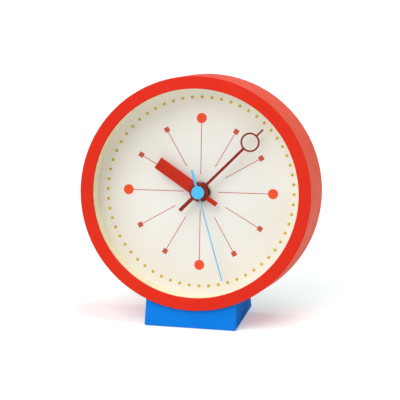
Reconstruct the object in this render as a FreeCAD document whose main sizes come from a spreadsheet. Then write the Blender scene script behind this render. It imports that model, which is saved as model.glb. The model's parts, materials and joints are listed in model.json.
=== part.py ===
# Table alarm clock: a drum case that leans back on a wedge base, with a quartz alarm movement.
#
# The world frame stands at the middle of the base's rest face: +X to the right as seen from the
# front, -Y to the front, +Z up. The clock's own frame has its origin at the dial's centre, x to the
# right, y up along the dial and z out of the dial towards the viewer. Every part of the clock is
# modelled in that leaning frame, and its heights below are z in it. Millimetres and degrees.
import FreeCAD
import Part
import os
import re
import Sketcher

doc = FreeCAD.newDocument("AlarmClock")
sheet = doc.addObject("Spreadsheet::Sheet", "Dim")

SIZES = {
    # How the clock stands
    "lean": 10.0,
    "drum_lift": 3.3,
    "dial_setback": 4.0,
    # Base
    "base_width": 50.3,
    "base_depth": 46.0,
    "base_front_lean": 12.0,
    "base_rear_lean": 22.0,
    "base_side_taper": 1.4,
    "base_shoulder": 6.5,
    "base_edge_break": 0.5,
    "pad_margin": 3.5,
    "pad_sheet": 1.3,
    "pad_proud": 0.3,
    "pad_corner": 2.0,
    "base_screw_spread": 13.0,
    "base_screw_place": 3.0,
    "base_screw_radius": 1.5,
    "base_screw_head": 3.0,
    "base_screw_head_depth": 1.8,
    "base_screw_bite": 3.6,
    "base_screw_cover": 3.5,
    # Case
    "case_radius": 63.0,
    "case_wall": 4.5,
    "case_depth": 38.0,
    "bezel_width": 6.8,
    "bezel_sheet": 2.0,
    "bezel_front": 15.8,
    "rabbet_wall": 1.1,
    "rabbet_depth": 2.0,
    # Lens, inner ring and dial
    "lens_sheet": 2.0,
    "ring_wall": 1.9,
    "dial_sheet": 1.0,
    # Rear cover
    "cover_sheet": 1.8,
    "lug_width": 9.0,
    "lug_depth": 3.0,
    "cover_screws": 3,
    "first_cover_screw": 90.0,
    "cover_screw_inset": 2.8,
    "cover_screw_radius": 0.8,
    "cover_screw_length": 6.5,
    "cover_screw_head": 1.4,
    "cover_screw_head_height": 0.8,
    "sound_slots": 5,
    "sound_slot_width": 1.4,
    "sound_slot_length": 12.0,
    "sound_slot_pitch": 3.0,
    "door_length": 55.0,
    "door_width": 16.6,
    "door_lip": 1.0,
    "door_sheet": 1.0,
    "door_rib": 2.0,
    "door_rib_place": 15.0,
    "door_notch": 4.0,
    # Movement shells
    "shell_half_width": 30.0,
    "shell_top": 28.0,
    "shell_bottom": 37.5,
    "shell_corner": 3.0,
    "shell_wall": 1.4,
    "shell_front_plate": 1.6,
    "shell_split": 9.9,
    "shell_back": 18.6,
    "shell_back_plate": 1.6,
    "clip_width": 4.0,
    "clip_sheet": 0.8,
    "clip_reach": 3.0,
    "clip_hook": 0.7,
    "clip_high_row": 18.0,
    "clip_low_row": -12.0,
    # Middle plate
    "middle_face": 9.4,
    "middle_sheet": 1.0,
    "middle_half_width": 22.5,
    "middle_top": 23.0,
    "middle_waist": 1.0,
    "middle_stem_half_width": 5.0,
    "middle_bottom": 16.5,
    "pin_column": 19.5,
    "pin_high_row": 20.0,
    "pin_low_row": -14.0,
    "pin_half_width": 1.0,
    # Centre bush, washer and nut
    "bush_radius": 4.0,
    "bush_flange_half": 5.0,
    "bush_flange_sheet": 0.8,
    "washer_radius": 6.4,
    "washer_sheet": 0.3,
    "nut_flats": 10.4,
    "nut_height": 1.9,
    # Centre tubes
    "second_arbor": 0.5,
    "minute_tube": 1.25,
    "hour_tube": 2.0,
    "alarm_tube": 2.75,
    "wheel_arbor": 0.4,
    "minute_stud": 0.7,
    "knob_shaft": 1.4,
    "knob_pivot": 0.7,
    "bearing_depth": 1.0,
    # Gear train: teeth, and the modules of the pairs that set each centre distance
    "rotor_leaves": 6,
    "intermediate_teeth": 36,
    "intermediate_leaves": 6,
    "second_teeth": 30,
    "second_leaves": 6,
    "third_teeth": 45,
    "third_leaves": 6,
    "centre_teeth": 48,
    "cannon_leaves": 8,
    "minute_teeth": 24,
    "minute_leaves": 7,
    "hour_teeth": 28,
    "setter_leaves": 8,
    "alarm_teeth": 28,
    "alarm_setter_teeth": 21,
    "rotor_module": 0.32,
    "second_module": 0.40,
    "third_module": 0.48,
    "cannon_module": 0.60,
    "alarm_module": 0.57,
    "wheel_sheet": 0.8,
    "third_angle": 110.0,
    "minute_angle": 17.0,
    "setter_angle": -30.0,
    "alarm_setter_angle": 188.2,
    "intermediate_angle": 60.0,
    "rotor_angle": 80.0,
    # Rear faces of the toothed bands, below the dial face
    "alarm_level": 3.7,
    "hour_level": 4.8,
    "minute_level": 6.1,
    "centre_level": 7.4,
    "third_level": 9.0,
    "second_level": 11.6,
    "intermediate_level": 12.8,
    # Tooth form, in modules
    "tooth_root": 1.25,
    "tooth_tip": 0.85,
    "wheel_tooth_foot": 0.92,
    "wheel_tooth_crest": 0.28,
    "leaf_foot": 0.60,
    "leaf_crest": 0.34,
    # Hands
    "alarm_hand_face": 2.9,
    "hour_hand_face": 4.2,
    "minute_hand_face": 5.8,
    "second_hand_face": 7.3,
    "hand_sheet": 0.5,
    "hour_hand_angle": 302.5,
    "minute_hand_angle": 43.6,
    "second_hand_angle": 162.2,
    "hour_hand_hub": 5.1,
    "hour_hand_length": 27.6,
    "hour_hand_width": 6.8,
    "hour_hand_tail": 11.7,
    "hour_hand_tail_width": 2.5,
    "minute_hand_hub": 4.9,
    "minute_hand_length": 49.1,
    "minute_hand_width": 1.5,
    "minute_hand_ring_place": 39.3,
    "minute_hand_ring_radius": 5.25,
    "minute_hand_ring_line": 0.95,
    "minute_hand_tip_width": 1.0,
    "minute_hand_tail": 14.4,
    "minute_hand_tail_width": 2.0,
    "second_hand_length": 49.3,
    "second_hand_width": 0.6,
    "second_hand_tail": 12.5,
    "second_hand_tail_width": 1.2,
    "second_cap_radius": 3.5,
    "second_cap_height": 1.1,
    "alarm_hand_length": 24.0,
    "alarm_hand_width": 2.0,
    "alarm_hand_hub": 3.8,
    # Motor
    "rotor_magnet": 2.5,
    "rotor_magnet_height": 1.6,
    "magnet_front": 13.3,
    "stator_face": 13.7,
    "stator_sheet": 0.8,
    "stator_half_length": 12.6,
    "stator_arm": 4.0,
    "stator_hole_gap": 0.5,
    "coil_distance": 9.4,
    "core_width": 2.2,
    "bobbin_radius": 1.75,
    "bobbin_flange_half": 2.7,
    "bobbin_flange_sheet": 0.8,
    "bobbin_length": 16.0,
    "coil_radius": 2.5,
    # Electronics
    "board_half_width": 21.0,
    "board_top": -5.2,
    "board_bottom": -19.0,
    "board_face": 15.6,
    "board_sheet": 1.0,
    "chip_radius": 2.6,
    "chip_height": 1.1,
    "crystal_radius": 1.0,
    "crystal_length": 6.0,
    # Battery and contacts
    "battery_radius": 7.2,
    "battery_length": 50.5,
    "battery_nub": 2.75,
    "battery_nub_height": 1.3,
    "battery_row": -28.5,
    "battery_depth": 10.2,
    "bay_wall": 1.2,
    "contact_sheet": 0.4,
    "contact_width": 8.0,
    # Alarm contact, sounder and leads
    "alarm_spring_sheet": 0.15,
    "alarm_spring_width": 1.8,
    "contact_column": 22.6,
    "contact_row": 6.0,
    "contact_foot_half": 1.2,
    "sounder_gap": 4.0,
    "sounder_radius": 10.0,
    "sounder_height": 4.5,
    "sounder_seat_wall": 1.1,
    "sounder_seat_height": 3.0,
    "lead_radius": 0.45,
    "lead_half_pitch": 1.5,
    "lead_depth": 17.4,
    # Knobs and switch
    "knob_radius": 7.5,
    "knob_height": 4.0,
    "knob_stand_off": 0.5,
    "knob_ribs": 20,
    "knob_rib_height": 0.5,
    "switch_row": -14.0,
    "switch_travel": 3.0,
    "switch_stem_length": 4.0,
    "switch_stem_width": 2.2,
    "switch_button_length": 8.0,
    "switch_button_width": 5.0,
    "switch_button_height": 1.6,
    "switch_flange": 1.4,
    "switch_flange_sheet": 0.8,
    # Clearances
    "seat_gap": 0.05,
    "slip_gap": 0.15,
    "running_gap": 0.05,
    "press_gap": 0.02,
    "loose_gap": 0.5,
}

for row, (alias, number) in enumerate(SIZES.items(), start=1):
    sheet.set("A%d" % row, alias)
    sheet.set("B%d" % row, str(number))
    sheet.setAlias("B%d" % row, alias)
doc.recompute()


# ---- Small tools: texts of sizes become expressions, sketches and features ----

def expression(text):
    """Points each size named in the text at its cell of the sheet."""
    def cell(word):
        return "Dim." + word.group(0) if word.group(0) in SIZES else word.group(0)
    return re.sub(r"[a-z_]\w*", cell, text)


def value(text):
    """The number that a text of sizes stands for."""
    return float(sheet.evalExpression(expression(text)))


def new_body(label):
    body = doc.addObject("PartDesign::Body", label)
    body.Label = label
    return body


def lean_with_clock(body, right="0", up="0"):
    """Puts a body into the clock's leaning frame, off the dial's centre by right and up."""
    turn = FreeCAD.Rotation(FreeCAD.Vector(1, 0, 0), 90 - value("lean"))
    body.Placement = FreeCAD.Placement(FreeCAD.Vector(0, 0, 0), turn)
    body.setExpression("Placement.Rotation.Angle", expression("90 - lean"))
    body.setExpression("Placement.Base.x", expression(right))
    body.setExpression("Placement.Base.y", expression("dial_setback + (%s) * sin(lean)" % up))
    body.setExpression("Placement.Base.z", expression("%s + (%s) * cos(lean)" % (DIAL_HEIGHT, up)))
    return body


def origin_feature(body, role):
    for feature in body.Origin.OriginFeatures:
        if feature.Role == role:
            return feature
    raise ValueError(role)


def new_sketch(body, name, plane, offset="0", turn="0"):
    """A sketch on one of the body's own planes, moved along its normal and turned in its plane."""
    sketch = body.newObject("Sketcher::SketchObject", name)
    sketch.AttachmentSupport = (origin_feature(body, plane), [""])
    sketch.MapMode = "FlatFace"
    start = FreeCAD.Rotation(FreeCAD.Vector(0, 0, 1), 1)
    sketch.AttachmentOffset = FreeCAD.Placement(FreeCAD.Vector(0, 0, 0), start)
    sketch.setExpression("AttachmentOffset.Rotation.Angle", expression(turn))
    sketch.setExpression("AttachmentOffset.Base.z", expression(offset))
    return sketch


def hold_points(sketch, places):
    """Dimensions points, given as (geometry, point, across, along), from the sketch's origin."""
    constraints = []
    texts = []
    for geometry, point, across, along in places:
        for kind, text in (("DistanceX", across), ("DistanceY", along)):
            constraints.append(Sketcher.Constraint(kind, -1, 1, geometry, point, value(text)))
            texts.append(text)
    for index, text in zip(sketch.addConstraint(constraints), texts):
        sketch.setExpression("Constraints[%d]" % index, expression(text))


def draw_outline(sketch, corners):
    """A closed outline of straight lines through corners given as texts of sizes."""
    first = sketch.GeometryCount
    places = [FreeCAD.Vector(value(across), value(along), 0) for across, along in corners]
    for start, end in zip(places, places[1:] + places[:1]):
        sketch.addGeometry(Part.LineSegment(start, end))
    joins = []
    for step in range(len(corners)):
        following = first + (step + 1) % len(corners)
        joins.append(Sketcher.Constraint("Coincident", first + step, 2, following, 1))
    sketch.addConstraint(joins)
    hold_points(sketch, [(first + step, 1) + corner for step, corner in enumerate(corners)])


def draw_rectangle(sketch, left, right, bottom, top):
    draw_outline(sketch, [(left, bottom), (right, bottom), (right, top), (left, top)])


def draw_circle(sketch, across, along, radius):
    centre = FreeCAD.Vector(value(across), value(along), 0)
    circle = sketch.addGeometry(Part.Circle(centre, FreeCAD.Vector(0, 0, 1), value(radius)))
    hold_points(sketch, [(circle, 3, across, along)])
    index = sketch.addConstraint(Sketcher.Constraint("Radius", circle, value(radius)))
    sketch.setExpression("Constraints[%d]" % index, expression(radius))


def pad(body, name, sketch, length, midplane=False):
    """Adds material from the sketch along its normal."""
    feature = body.newObject("PartDesign::Pad", name)
    feature.Profile = sketch
    feature.Midplane = midplane
    feature.Refine = True
    feature.setExpression("Length", expression(length))
    return feature


def pocket(body, name, sketch, depth):
    """Takes material away from the sketch against its normal."""
    feature = body.newObject("PartDesign::Pocket", name)
    feature.Profile = sketch
    feature.Refine = True
    feature.setExpression("Length", expression(depth))
    return feature


def turned(body, name, corners):
    """A solid of revolution about the body's z axis from an outline of (radius, height)."""
    sketch = new_sketch(body, name + "Profile", "XZ_Plane")
    draw_outline(sketch, corners)
    feature = body.newObject("PartDesign::Revolution", name)
    feature.Profile = sketch
    feature.ReferenceAxis = (sketch, ["V_Axis"])
    feature.Angle = 360
    return feature


def polar_copies(body, name, originals, count):
    """Repeats features evenly about the body's z axis."""
    pattern = body.newObject("PartDesign::PolarPattern", name)
    pattern.Originals = originals
    pattern.Axis = (origin_feature(body, "Z_Axis"), [""])
    pattern.Angle = 360
    pattern.Refine = True
    pattern.setExpression("Occurrences", expression(count))
    body.Tip = pattern
    return pattern


def rounded_plate(body, name, left, right, bottom, top, rear, thickness, corner):
    """A flat plate with rounded corners whose rear face lies at height rear."""
    sketch = new_sketch(body, name + "Outline", "XY_Plane", rear)
    draw_rectangle(sketch, left, right, bottom, top)
    plate = pad(body, name, sketch, thickness)
    doc.recompute()
    rounding = body.newObject("PartDesign::Fillet", name + "Corners")
    rounding.Base = (plate, edges_where(plate.Shape, is_upright))
    rounding.setExpression("Radius", expression(corner))
    return rounding


def edges_where(shape, test):
    """Names of the shape's edges that pass a test."""
    return ["Edge%d" % number for number, edge in enumerate(shape.Edges, start=1) if test(edge)]


def is_upright(edge):
    if edge.Curve.TypeId != "Part::GeomLine":
        return False
    return abs(edge.tangentAt(edge.FirstParameter).z) > 0.999


def post(body, name, across, along, radius, rear, length):
    """A round post that rises from height rear."""
    sketch = new_sketch(body, name + "Circle", "XY_Plane", rear)
    draw_circle(sketch, across, along, radius)
    return pad(body, name, sketch, length)


def draw_square(sketch, across, along, half):
    draw_rectangle(sketch, "%s - %s" % (across, half), "%s + %s" % (across, half),
                   "%s - %s" % (along, half), "%s + %s" % (along, half))


def draw_octagon(sketch, across, along, half_width):
    corner = "(%s / cos(22.5))" % half_width
    draw_outline(sketch, [polar_place(corner, "%.1f" % (45 * step + 22.5), (across, along))
                          for step in range(8)])


def bore(body, name, across, along, radius, front, depth):
    """A round hole that goes from height front towards the rear."""
    sketch = new_sketch(body, name + "Circle", "XY_Plane", front)
    draw_circle(sketch, across, along, radius)
    return pocket(body, name, sketch, depth)


# ---- Heights and places that several pieces share ----

# The drum's lower edge at the rear hangs a lift above the floor.
DIAL_HEIGHT = "(drum_lift + case_radius * cos(lean) + (case_depth - bezel_front) * sin(lean))"
BEZEL_BACK = "(bezel_front - bezel_sheet)"
LENS_BACK = "(bezel_front - bezel_sheet - lens_sheet)"
CASE_BACK = "(bezel_front - case_depth)"
CASE_BORE = "(case_radius - case_wall)"
RABBET_RADIUS = "(case_radius - rabbet_wall)"
RABBET_FACE = "(bezel_front - case_depth + rabbet_depth)"
COVER_BACK = "(bezel_front - case_depth + rabbet_depth - cover_sheet)"
RING_BORE = "(case_radius - case_wall - ring_wall)"
DIAL_BACK = "(-dial_sheet)"
SHELL_FLOOR = "(-dial_sheet - shell_front_plate)"
SHELL_REAR_FLOOR = "(shell_back_plate - shell_back)"
MIDDLE_BACK = "(-middle_face - middle_sheet)"
ARBOR_REAR_END = "(%s - bearing_depth + slip_gap)" % SHELL_REAR_FLOOR
ARBOR_FRONT_END = "(%s + bearing_depth - slip_gap)" % SHELL_FLOOR
CONTACT_SEAT = "(-hour_level - seat_gap)"
SOUNDER_ROW = "(shell_top + sounder_gap + sounder_radius)"

THIRD_DISTANCE = "(third_module * (second_leaves + third_teeth) / 2)"
MINUTE_DISTANCE = "(cannon_module * (cannon_leaves + minute_teeth) / 2)"
SETTER_DISTANCE = "(cannon_module * (minute_teeth + setter_leaves) / 2)"
ALARM_DISTANCE = "(alarm_module * (alarm_teeth + alarm_setter_teeth) / 2)"
INTERMEDIATE_DISTANCE = "(second_module * (second_teeth + intermediate_leaves) / 2)"
ROTOR_DISTANCE = "(rotor_module * (intermediate_teeth + rotor_leaves) / 2)"
CENTRE_MODULE = "(2 * %s / (third_leaves + centre_teeth))" % THIRD_DISTANCE
HOUR_MODULE = "(2 * %s / (minute_leaves + hour_teeth))" % MINUTE_DISTANCE


def polar_place(distance, angle, start=("0", "0")):
    """Across and along of a point at a distance and an angle from a start."""
    across = "(%s + %s * cos(%s))" % (start[0], distance, angle)
    along = "(%s + %s * sin(%s))" % (start[1], distance, angle)
    return across, along


THIRD_AXIS = polar_place(THIRD_DISTANCE, "third_angle")
MINUTE_AXIS = polar_place(MINUTE_DISTANCE, "minute_angle")
SETTER_AXIS = polar_place(SETTER_DISTANCE, "setter_angle", MINUTE_AXIS)
ALARM_AXIS = polar_place(ALARM_DISTANCE, "alarm_setter_angle")
INTERMEDIATE_AXIS = polar_place(INTERMEDIATE_DISTANCE, "intermediate_angle")
ROTOR_AXIS = polar_place(ROTOR_DISTANCE, "rotor_angle", INTERMEDIATE_AXIS)
COIL_ROW = "(%s + coil_distance)" % ROTOR_AXIS[1]
# Two pins of the front shell, well apart, place the middle plate.
PIN_PLACES = (("-pin_column", "pin_high_row"), ("0", "pin_low_row"))
# The base screws' heads pull on the block this far below the drum; their tips end in its wall.
BASE_SCREW_SEAT = "(case_radius + base_screw_cover)"
BASE_SCREW_TIP = "(sqrt(case_radius ^ 2 - base_screw_spread ^ 2) - base_screw_bite)"


# ---- Base: block, pad and screws ----

def base_block():
    """A solid block with a leaning front and rear, hollowed to the drum's round."""
    body = new_body("base_block")
    # The block's top runs parallel to the drum's axis, a shoulder's height above its lowest line.
    shoulder = "(base_shoulder - case_radius)"
    top_line_y = "(dial_setback + %s * sin(lean))" % shoulder
    top_line_z = "(%s + %s * cos(lean) - pad_proud)" % (DIAL_HEIGHT, shoulder)
    front_run = "((%s + base_depth / 2 - %s * tan(base_front_lean))" % (top_line_y, top_line_z)
    front_run += " / (cos(lean) + sin(lean) * tan(base_front_lean)))"
    rear_run = "((base_depth / 2 - %s - %s * tan(base_rear_lean))" % (top_line_y, top_line_z)
    rear_run += " / (cos(lean) - sin(lean) * tan(base_rear_lean)))"
    profile = new_sketch(body, "SideProfile", "YZ_Plane")
    draw_outline(profile, [
        ("-base_depth / 2", "pad_proud"),
        ("base_depth / 2", "pad_proud"),
        ("%s + %s * cos(lean)" % (top_line_y, rear_run),
         "pad_proud + %s - %s * sin(lean)" % (top_line_z, rear_run)),
        ("%s - %s * cos(lean)" % (top_line_y, front_run),
         "pad_proud + %s + %s * sin(lean)" % (top_line_z, front_run)),
    ])
    block = pad(body, "Block", profile, "base_width", midplane=True)
    doc.recompute()

    sides = []
    bottom = []
    for number, face in enumerate(block.Shape.Faces, start=1):
        normal = face.normalAt(0, 0)
        if abs(normal.x) > 0.99:
            sides.append("Face%d" % number)
        elif normal.z < -0.99:
            bottom.append("Face%d" % number)
    draft = body.newObject("PartDesign::Draft", "SideTaper")
    draft.Base = (block, sides)
    draft.NeutralPlane = (block, bottom)
    draft.setExpression("Angle", expression("base_side_taper"))
    doc.recompute()

    chamfer = body.newObject("PartDesign::Chamfer", "BrokenEdges")
    chamfer.Base = (draft, [""])
    chamfer.UseAllEdges = True
    chamfer.setExpression("Size", expression("base_edge_break"))

    # The saddle: a groove turned about the drum's axis, from its rear face out to the front.
    saddle = new_sketch(body, "SaddleProfile", "YZ_Plane")
    radius = "(case_radius + seat_gap)"
    front = "(bezel_front + case_depth)"
    rear = "(%s - seat_gap)" % CASE_BACK
    axis_y = "(dial_setback - %s * cos(lean))"
    axis_z = "(" + DIAL_HEIGHT + " + %s * sin(lean))"
    draw_outline(saddle, [
        (axis_y % rear, axis_z % rear),
        (axis_y % front, axis_z % front),
        (axis_y % front + " - %s * sin(lean)" % radius, axis_z % front + " - %s * cos(lean)" % radius),
        (axis_y % rear + " - %s * sin(lean)" % radius, axis_z % rear + " - %s * cos(lean)" % radius),
    ])
    groove = body.newObject("PartDesign::Groove", "Saddle")
    groove.Profile = saddle
    groove.ReferenceAxis = (saddle, ["Edge1"])
    groove.Angle = 360

    recess = new_sketch(body, "PadRecess", "XY_Plane", "pad_sheet")
    draw_rectangle(recess, "pad_margin - base_width / 2", "base_width / 2 - pad_margin",
                   "pad_margin - base_depth / 2", "base_depth / 2 - pad_margin")
    pocket(body, "Recess", recess, "pad_sheet")
    for side, sign in (("Left", "-"), ("Right", "")):
        drill_base(body, side, sign + "base_screw_spread")
    return body


def base_screw_sketch(body, name, across, depth, radius):
    """A circle square to a base screw, at a depth in the clock's frame below the dial's centre."""
    sketch = body.newObject("Sketcher::SketchObject", name)
    sketch.AttachmentSupport = (origin_feature(body, "XY_Plane"), [""])
    sketch.MapMode = "FlatFace"
    turn = FreeCAD.Rotation(FreeCAD.Vector(-1, 0, 0), value("lean"))
    sketch.AttachmentOffset = FreeCAD.Placement(FreeCAD.Vector(0, 0, 0), turn)
    sketch.setExpression("AttachmentOffset.Rotation.Angle", expression("lean"))
    sketch.setExpression("AttachmentOffset.Base.y",
                         expression("dial_setback - (%s) * sin(lean)" % depth))
    sketch.setExpression("AttachmentOffset.Base.z",
                         expression("%s - (%s) * cos(lean)" % (DIAL_HEIGHT, depth)))
    draw_circle(sketch, across, "-base_screw_place", radius)
    return sketch


def drill_base(body, side, across):
    """A hole for one base screw, and a counterbore that opens at the block's underside."""
    shank = base_screw_sketch(body, side + "ScrewHole", across, BASE_SCREW_TIP,
                              "base_screw_radius + slip_gap")
    pocket(body, side + "Hole", shank, "%s - %s" % (BASE_SCREW_SEAT, BASE_SCREW_TIP))
    head = base_screw_sketch(body, side + "HeadHole", across, BASE_SCREW_SEAT,
                             "base_screw_head + slip_gap")
    to_floor = "%s / cos(lean) + base_screw_head - %s" % (DIAL_HEIGHT, BASE_SCREW_SEAT)
    pocket(body, side + "Counterbore", head, to_floor)


def base_pad():
    """A sheet of rubber glued into the block's recess; it stands a little proud and is what rests."""
    body = new_body("base_pad")
    rounded_plate(body, "Sheet", "pad_margin + seat_gap - base_width / 2",
                  "base_width / 2 - pad_margin - seat_gap", "pad_margin + seat_gap - base_depth / 2",
                  "base_depth / 2 - pad_margin - seat_gap", "0", "pad_sheet", "pad_corner")
    return body


def base_screws():
    """Two pan-head screws up through the block into the drum's wall."""
    body = lean_with_clock(new_body("base_screws"))
    # The body's XZ plane has its normal towards -y, so an offset counts down from the dial.
    head = new_sketch(body, "Heads", "XZ_Plane", BASE_SCREW_SEAT)
    shank = new_sketch(body, "Shanks", "XZ_Plane", BASE_SCREW_TIP)
    for sign in ("-", ""):
        draw_circle(head, sign + "base_screw_spread", "base_screw_place", "base_screw_head")
        draw_circle(shank, sign + "base_screw_spread", "base_screw_place", "base_screw_radius")
    pad(body, "Head", head, "base_screw_head_depth")
    pad(body, "Shank", shank, "%s - %s" % (BASE_SCREW_SEAT, BASE_SCREW_TIP))
    return body


# ---- Case: drum, lens, inner ring and dial ----

def case_drum():
    """The drum and its flat bezel, one lacquered ring, with a rabbet for the rear cover."""
    body = lean_with_clock(new_body("case_drum"))
    turned(body, "Drum", [
        ("case_radius - bezel_width", BEZEL_BACK),
        ("case_radius - bezel_width", "bezel_front"),
        ("case_radius", "bezel_front"),
        ("case_radius", CASE_BACK),
        (RABBET_RADIUS, CASE_BACK),
        (RABBET_RADIUS, RABBET_FACE),
        (CASE_BORE, RABBET_FACE),
        (CASE_BORE, BEZEL_BACK),
    ])
    pilots = new_sketch(body, "BaseScrewPilots", "XZ_Plane", "case_radius + 1")
    for sign in ("-", ""):
        draw_circle(pilots, sign + "base_screw_spread", "base_screw_place",
                    "base_screw_radius + seat_gap")
    pocket(body, "BasePilots", pilots, "case_radius + 1 - %s + seat_gap" % BASE_SCREW_TIP)

    pilot_depth = "cover_screw_length - cover_sheet + slip_gap"
    pilot = bore(body, "CoverPilot", COVER_SCREW[0], COVER_SCREW[1], "cover_screw_radius + seat_gap",
                 "%s + %s" % (RABBET_FACE, pilot_depth), pilot_depth)
    polar_copies(body, "CoverPilots", [pilot], "cover_screws")
    return body


def lens():
    """A flat clear disc that lies against the back of the bezel's lip."""
    body = lean_with_clock(new_body("lens"))
    turned(body, "Disc", [
        ("0", LENS_BACK),
        (CASE_BORE + " - slip_gap", LENS_BACK),
        (CASE_BORE + " - slip_gap", BEZEL_BACK),
        ("0", BEZEL_BACK),
    ])
    return body


def dial_ring():
    """The cream band that holds the lens off the dial and makes the wall round it."""
    body = lean_with_clock(new_body("dial_ring"))
    turned(body, "Band", [
        (RING_BORE, "0"),
        (CASE_BORE + " - slip_gap", "0"),
        (CASE_BORE + " - slip_gap", LENS_BACK),
        (RING_BORE, LENS_BACK),
    ])
    return body


def dial():
    body = lean_with_clock(new_body("dial"))
    turned(body, "Disc", [
        ("bush_radius + slip_gap", DIAL_BACK),
        (CASE_BORE + " - slip_gap", DIAL_BACK),
        (CASE_BORE + " - slip_gap", "0"),
        ("bush_radius + slip_gap", "0"),
    ])
    return body


# ---- Rear cover, its screws and the battery cover ----

COVER_SCREW = polar_place("(case_radius - cover_screw_inset)", "first_cover_screw")
DOOR_HALF = "(door_length / 2)"
DOOR_FACE = "(%s + door_sheet)" % COVER_BACK


def rear_cover():
    """A moulded disc in the drum's rabbet; lugs on it press dial, ring and lens forward."""
    body = lean_with_clock(new_body("rear_cover"))
    turned(body, "Disc", [
        ("0", COVER_BACK),
        (RABBET_RADIUS + " - slip_gap", COVER_BACK),
        (RABBET_RADIUS + " - slip_gap", RABBET_FACE),
        ("0", RABBET_FACE),
    ])
    lug_outline = new_sketch(body, "LugOutline", "XY_Plane", RABBET_FACE)
    lug_edge = "(sqrt((%s - 2 * slip_gap) ^ 2 - lug_width ^ 2 / 4))" % CASE_BORE
    draw_rectangle(lug_outline, lug_edge + " - lug_depth", lug_edge, "-lug_width / 2", "lug_width / 2")
    lug = pad(body, "Lug", lug_outline, "%s - %s" % (DIAL_BACK, RABBET_FACE))
    polar_copies(body, "Lugs", [lug], "cover_screws")
    seat = new_sketch(body, "SounderSeat", "XY_Plane", RABBET_FACE)
    draw_octagon(seat, "0", SOUNDER_ROW, "(sounder_radius + slip_gap)")
    draw_octagon(seat, "0", SOUNDER_ROW, "(sounder_radius + slip_gap + sounder_seat_wall)")
    pad(body, "SounderWall", seat, "sounder_seat_height")

    # A notch in the sounder's seat lets its leads out towards the movement.
    notch = new_sketch(body, "LeadNotch", "XY_Plane", RABBET_FACE + " + sounder_seat_height")
    draw_rectangle(notch, "-lead_half_pitch - 2 * lead_radius", "lead_half_pitch + 2 * lead_radius",
                   "%s - sounder_radius - 2 * sounder_seat_wall" % SOUNDER_ROW,
                   "%s - sounder_radius + sounder_seat_wall" % SOUNDER_ROW)
    pocket(body, "LeadWay", notch, "sounder_seat_height")

    slots = new_sketch(body, "SoundSlot", "XY_Plane", RABBET_FACE)
    span = "(sound_slots - 1) * sound_slot_pitch"
    draw_rectangle(slots, "-sound_slot_length / 2", "sound_slot_length / 2",
                   "%s - (%s + sound_slot_width) / 2" % (SOUNDER_ROW, span),
                   "%s - (%s - sound_slot_width) / 2" % (SOUNDER_ROW, span))
    slot = pocket(body, "Slot", slots, "cover_sheet")
    row = body.newObject("PartDesign::LinearPattern", "Slots")
    row.Originals = [slot]
    row.Direction = (origin_feature(body, "Y_Axis"), [""])
    row.setExpression("Length", expression(span))
    row.setExpression("Occurrences", expression("sound_slots"))
    body.Tip = row

    openings = new_sketch(body, "ThroughHoles", "XY_Plane", RABBET_FACE)
    for axis in (SETTER_AXIS, ALARM_AXIS):
        draw_circle(openings, axis[0], axis[1], "knob_shaft + loose_gap")
    half_slot = "(switch_stem_length + slip_gap * 2) / 2"
    draw_rectangle(openings, "-%s - switch_travel / 2" % half_slot,
                   "%s + switch_travel / 2" % half_slot,
                   "switch_row - switch_stem_width / 2 - slip_gap",
                   "switch_row + switch_stem_width / 2 + slip_gap")
    draw_rectangle(openings, "door_lip - %s" % DOOR_HALF, "%s - door_lip" % DOOR_HALF,
                   "battery_row - door_width / 2 + door_lip", "battery_row + door_width / 2 - door_lip")
    pocket(body, "Openings", openings, "cover_sheet")

    door_seat = new_sketch(body, "DoorSeat", "XY_Plane", DOOR_FACE)
    draw_rectangle(door_seat, "-%s - slip_gap" % DOOR_HALF, "%s + slip_gap" % DOOR_HALF,
                   "battery_row - door_width / 2 - slip_gap", "battery_row + door_width / 2 + slip_gap")
    pocket(body, "DoorRecess", door_seat, "door_sheet")

    hole = bore(body, "ScrewHole", COVER_SCREW[0], COVER_SCREW[1], "cover_screw_radius + slip_gap",
                RABBET_FACE, "cover_sheet")
    polar_copies(body, "ScrewHoles", [hole], "cover_screws")
    return body


def rear_cover_screws():
    body = lean_with_clock(new_body("rear_cover_screws"))
    head = post(body, "Head", COVER_SCREW[0], COVER_SCREW[1], "cover_screw_head",
                "%s - seat_gap - cover_screw_head_height" % COVER_BACK, "cover_screw_head_height")
    shank = post(body, "Shank", COVER_SCREW[0], COVER_SCREW[1], "cover_screw_radius",
                 "%s - seat_gap" % COVER_BACK, "cover_screw_length")
    polar_copies(body, "Screws", [head, shank], "cover_screws")
    return body


def battery_cover():
    """A flush door that pulls straight off; two ribs keep the battery down."""
    body = lean_with_clock(new_body("battery_cover"))
    plate = new_sketch(body, "Plate", "XY_Plane", COVER_BACK)
    draw_rectangle(plate, "-" + DOOR_HALF, DOOR_HALF,
                   "battery_row - door_width / 2", "battery_row + door_width / 2")
    pad(body, "Door", plate, "door_sheet")
    ribs = new_sketch(body, "RibOutlines", "XY_Plane", DOOR_FACE)
    for sign in ("-", ""):
        middle = sign + "door_rib_place"
        draw_rectangle(ribs, middle + " - door_rib / 2", middle + " + door_rib / 2",
                       "battery_row - battery_radius * 0.8", "battery_row + battery_radius * 0.8")
    pad(body, "Ribs", ribs, "-battery_depth - battery_radius - slip_gap - %s" % DOOR_FACE)
    notch = new_sketch(body, "FingerNotch", "XY_Plane", COVER_BACK + " + door_sheet / 2")
    draw_circle(notch, "0", "battery_row + door_width / 2", "door_notch")
    pocket(body, "Notch", notch, "door_sheet / 2")
    return body


# ---- Movement: shells, middle plate, bush, washer and nut ----

def draw_shell(sketch, inset):
    draw_rectangle(sketch, "%s - shell_half_width" % inset, "shell_half_width - %s" % inset,
                   "%s - shell_bottom" % inset, "shell_top - %s" % inset)


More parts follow.
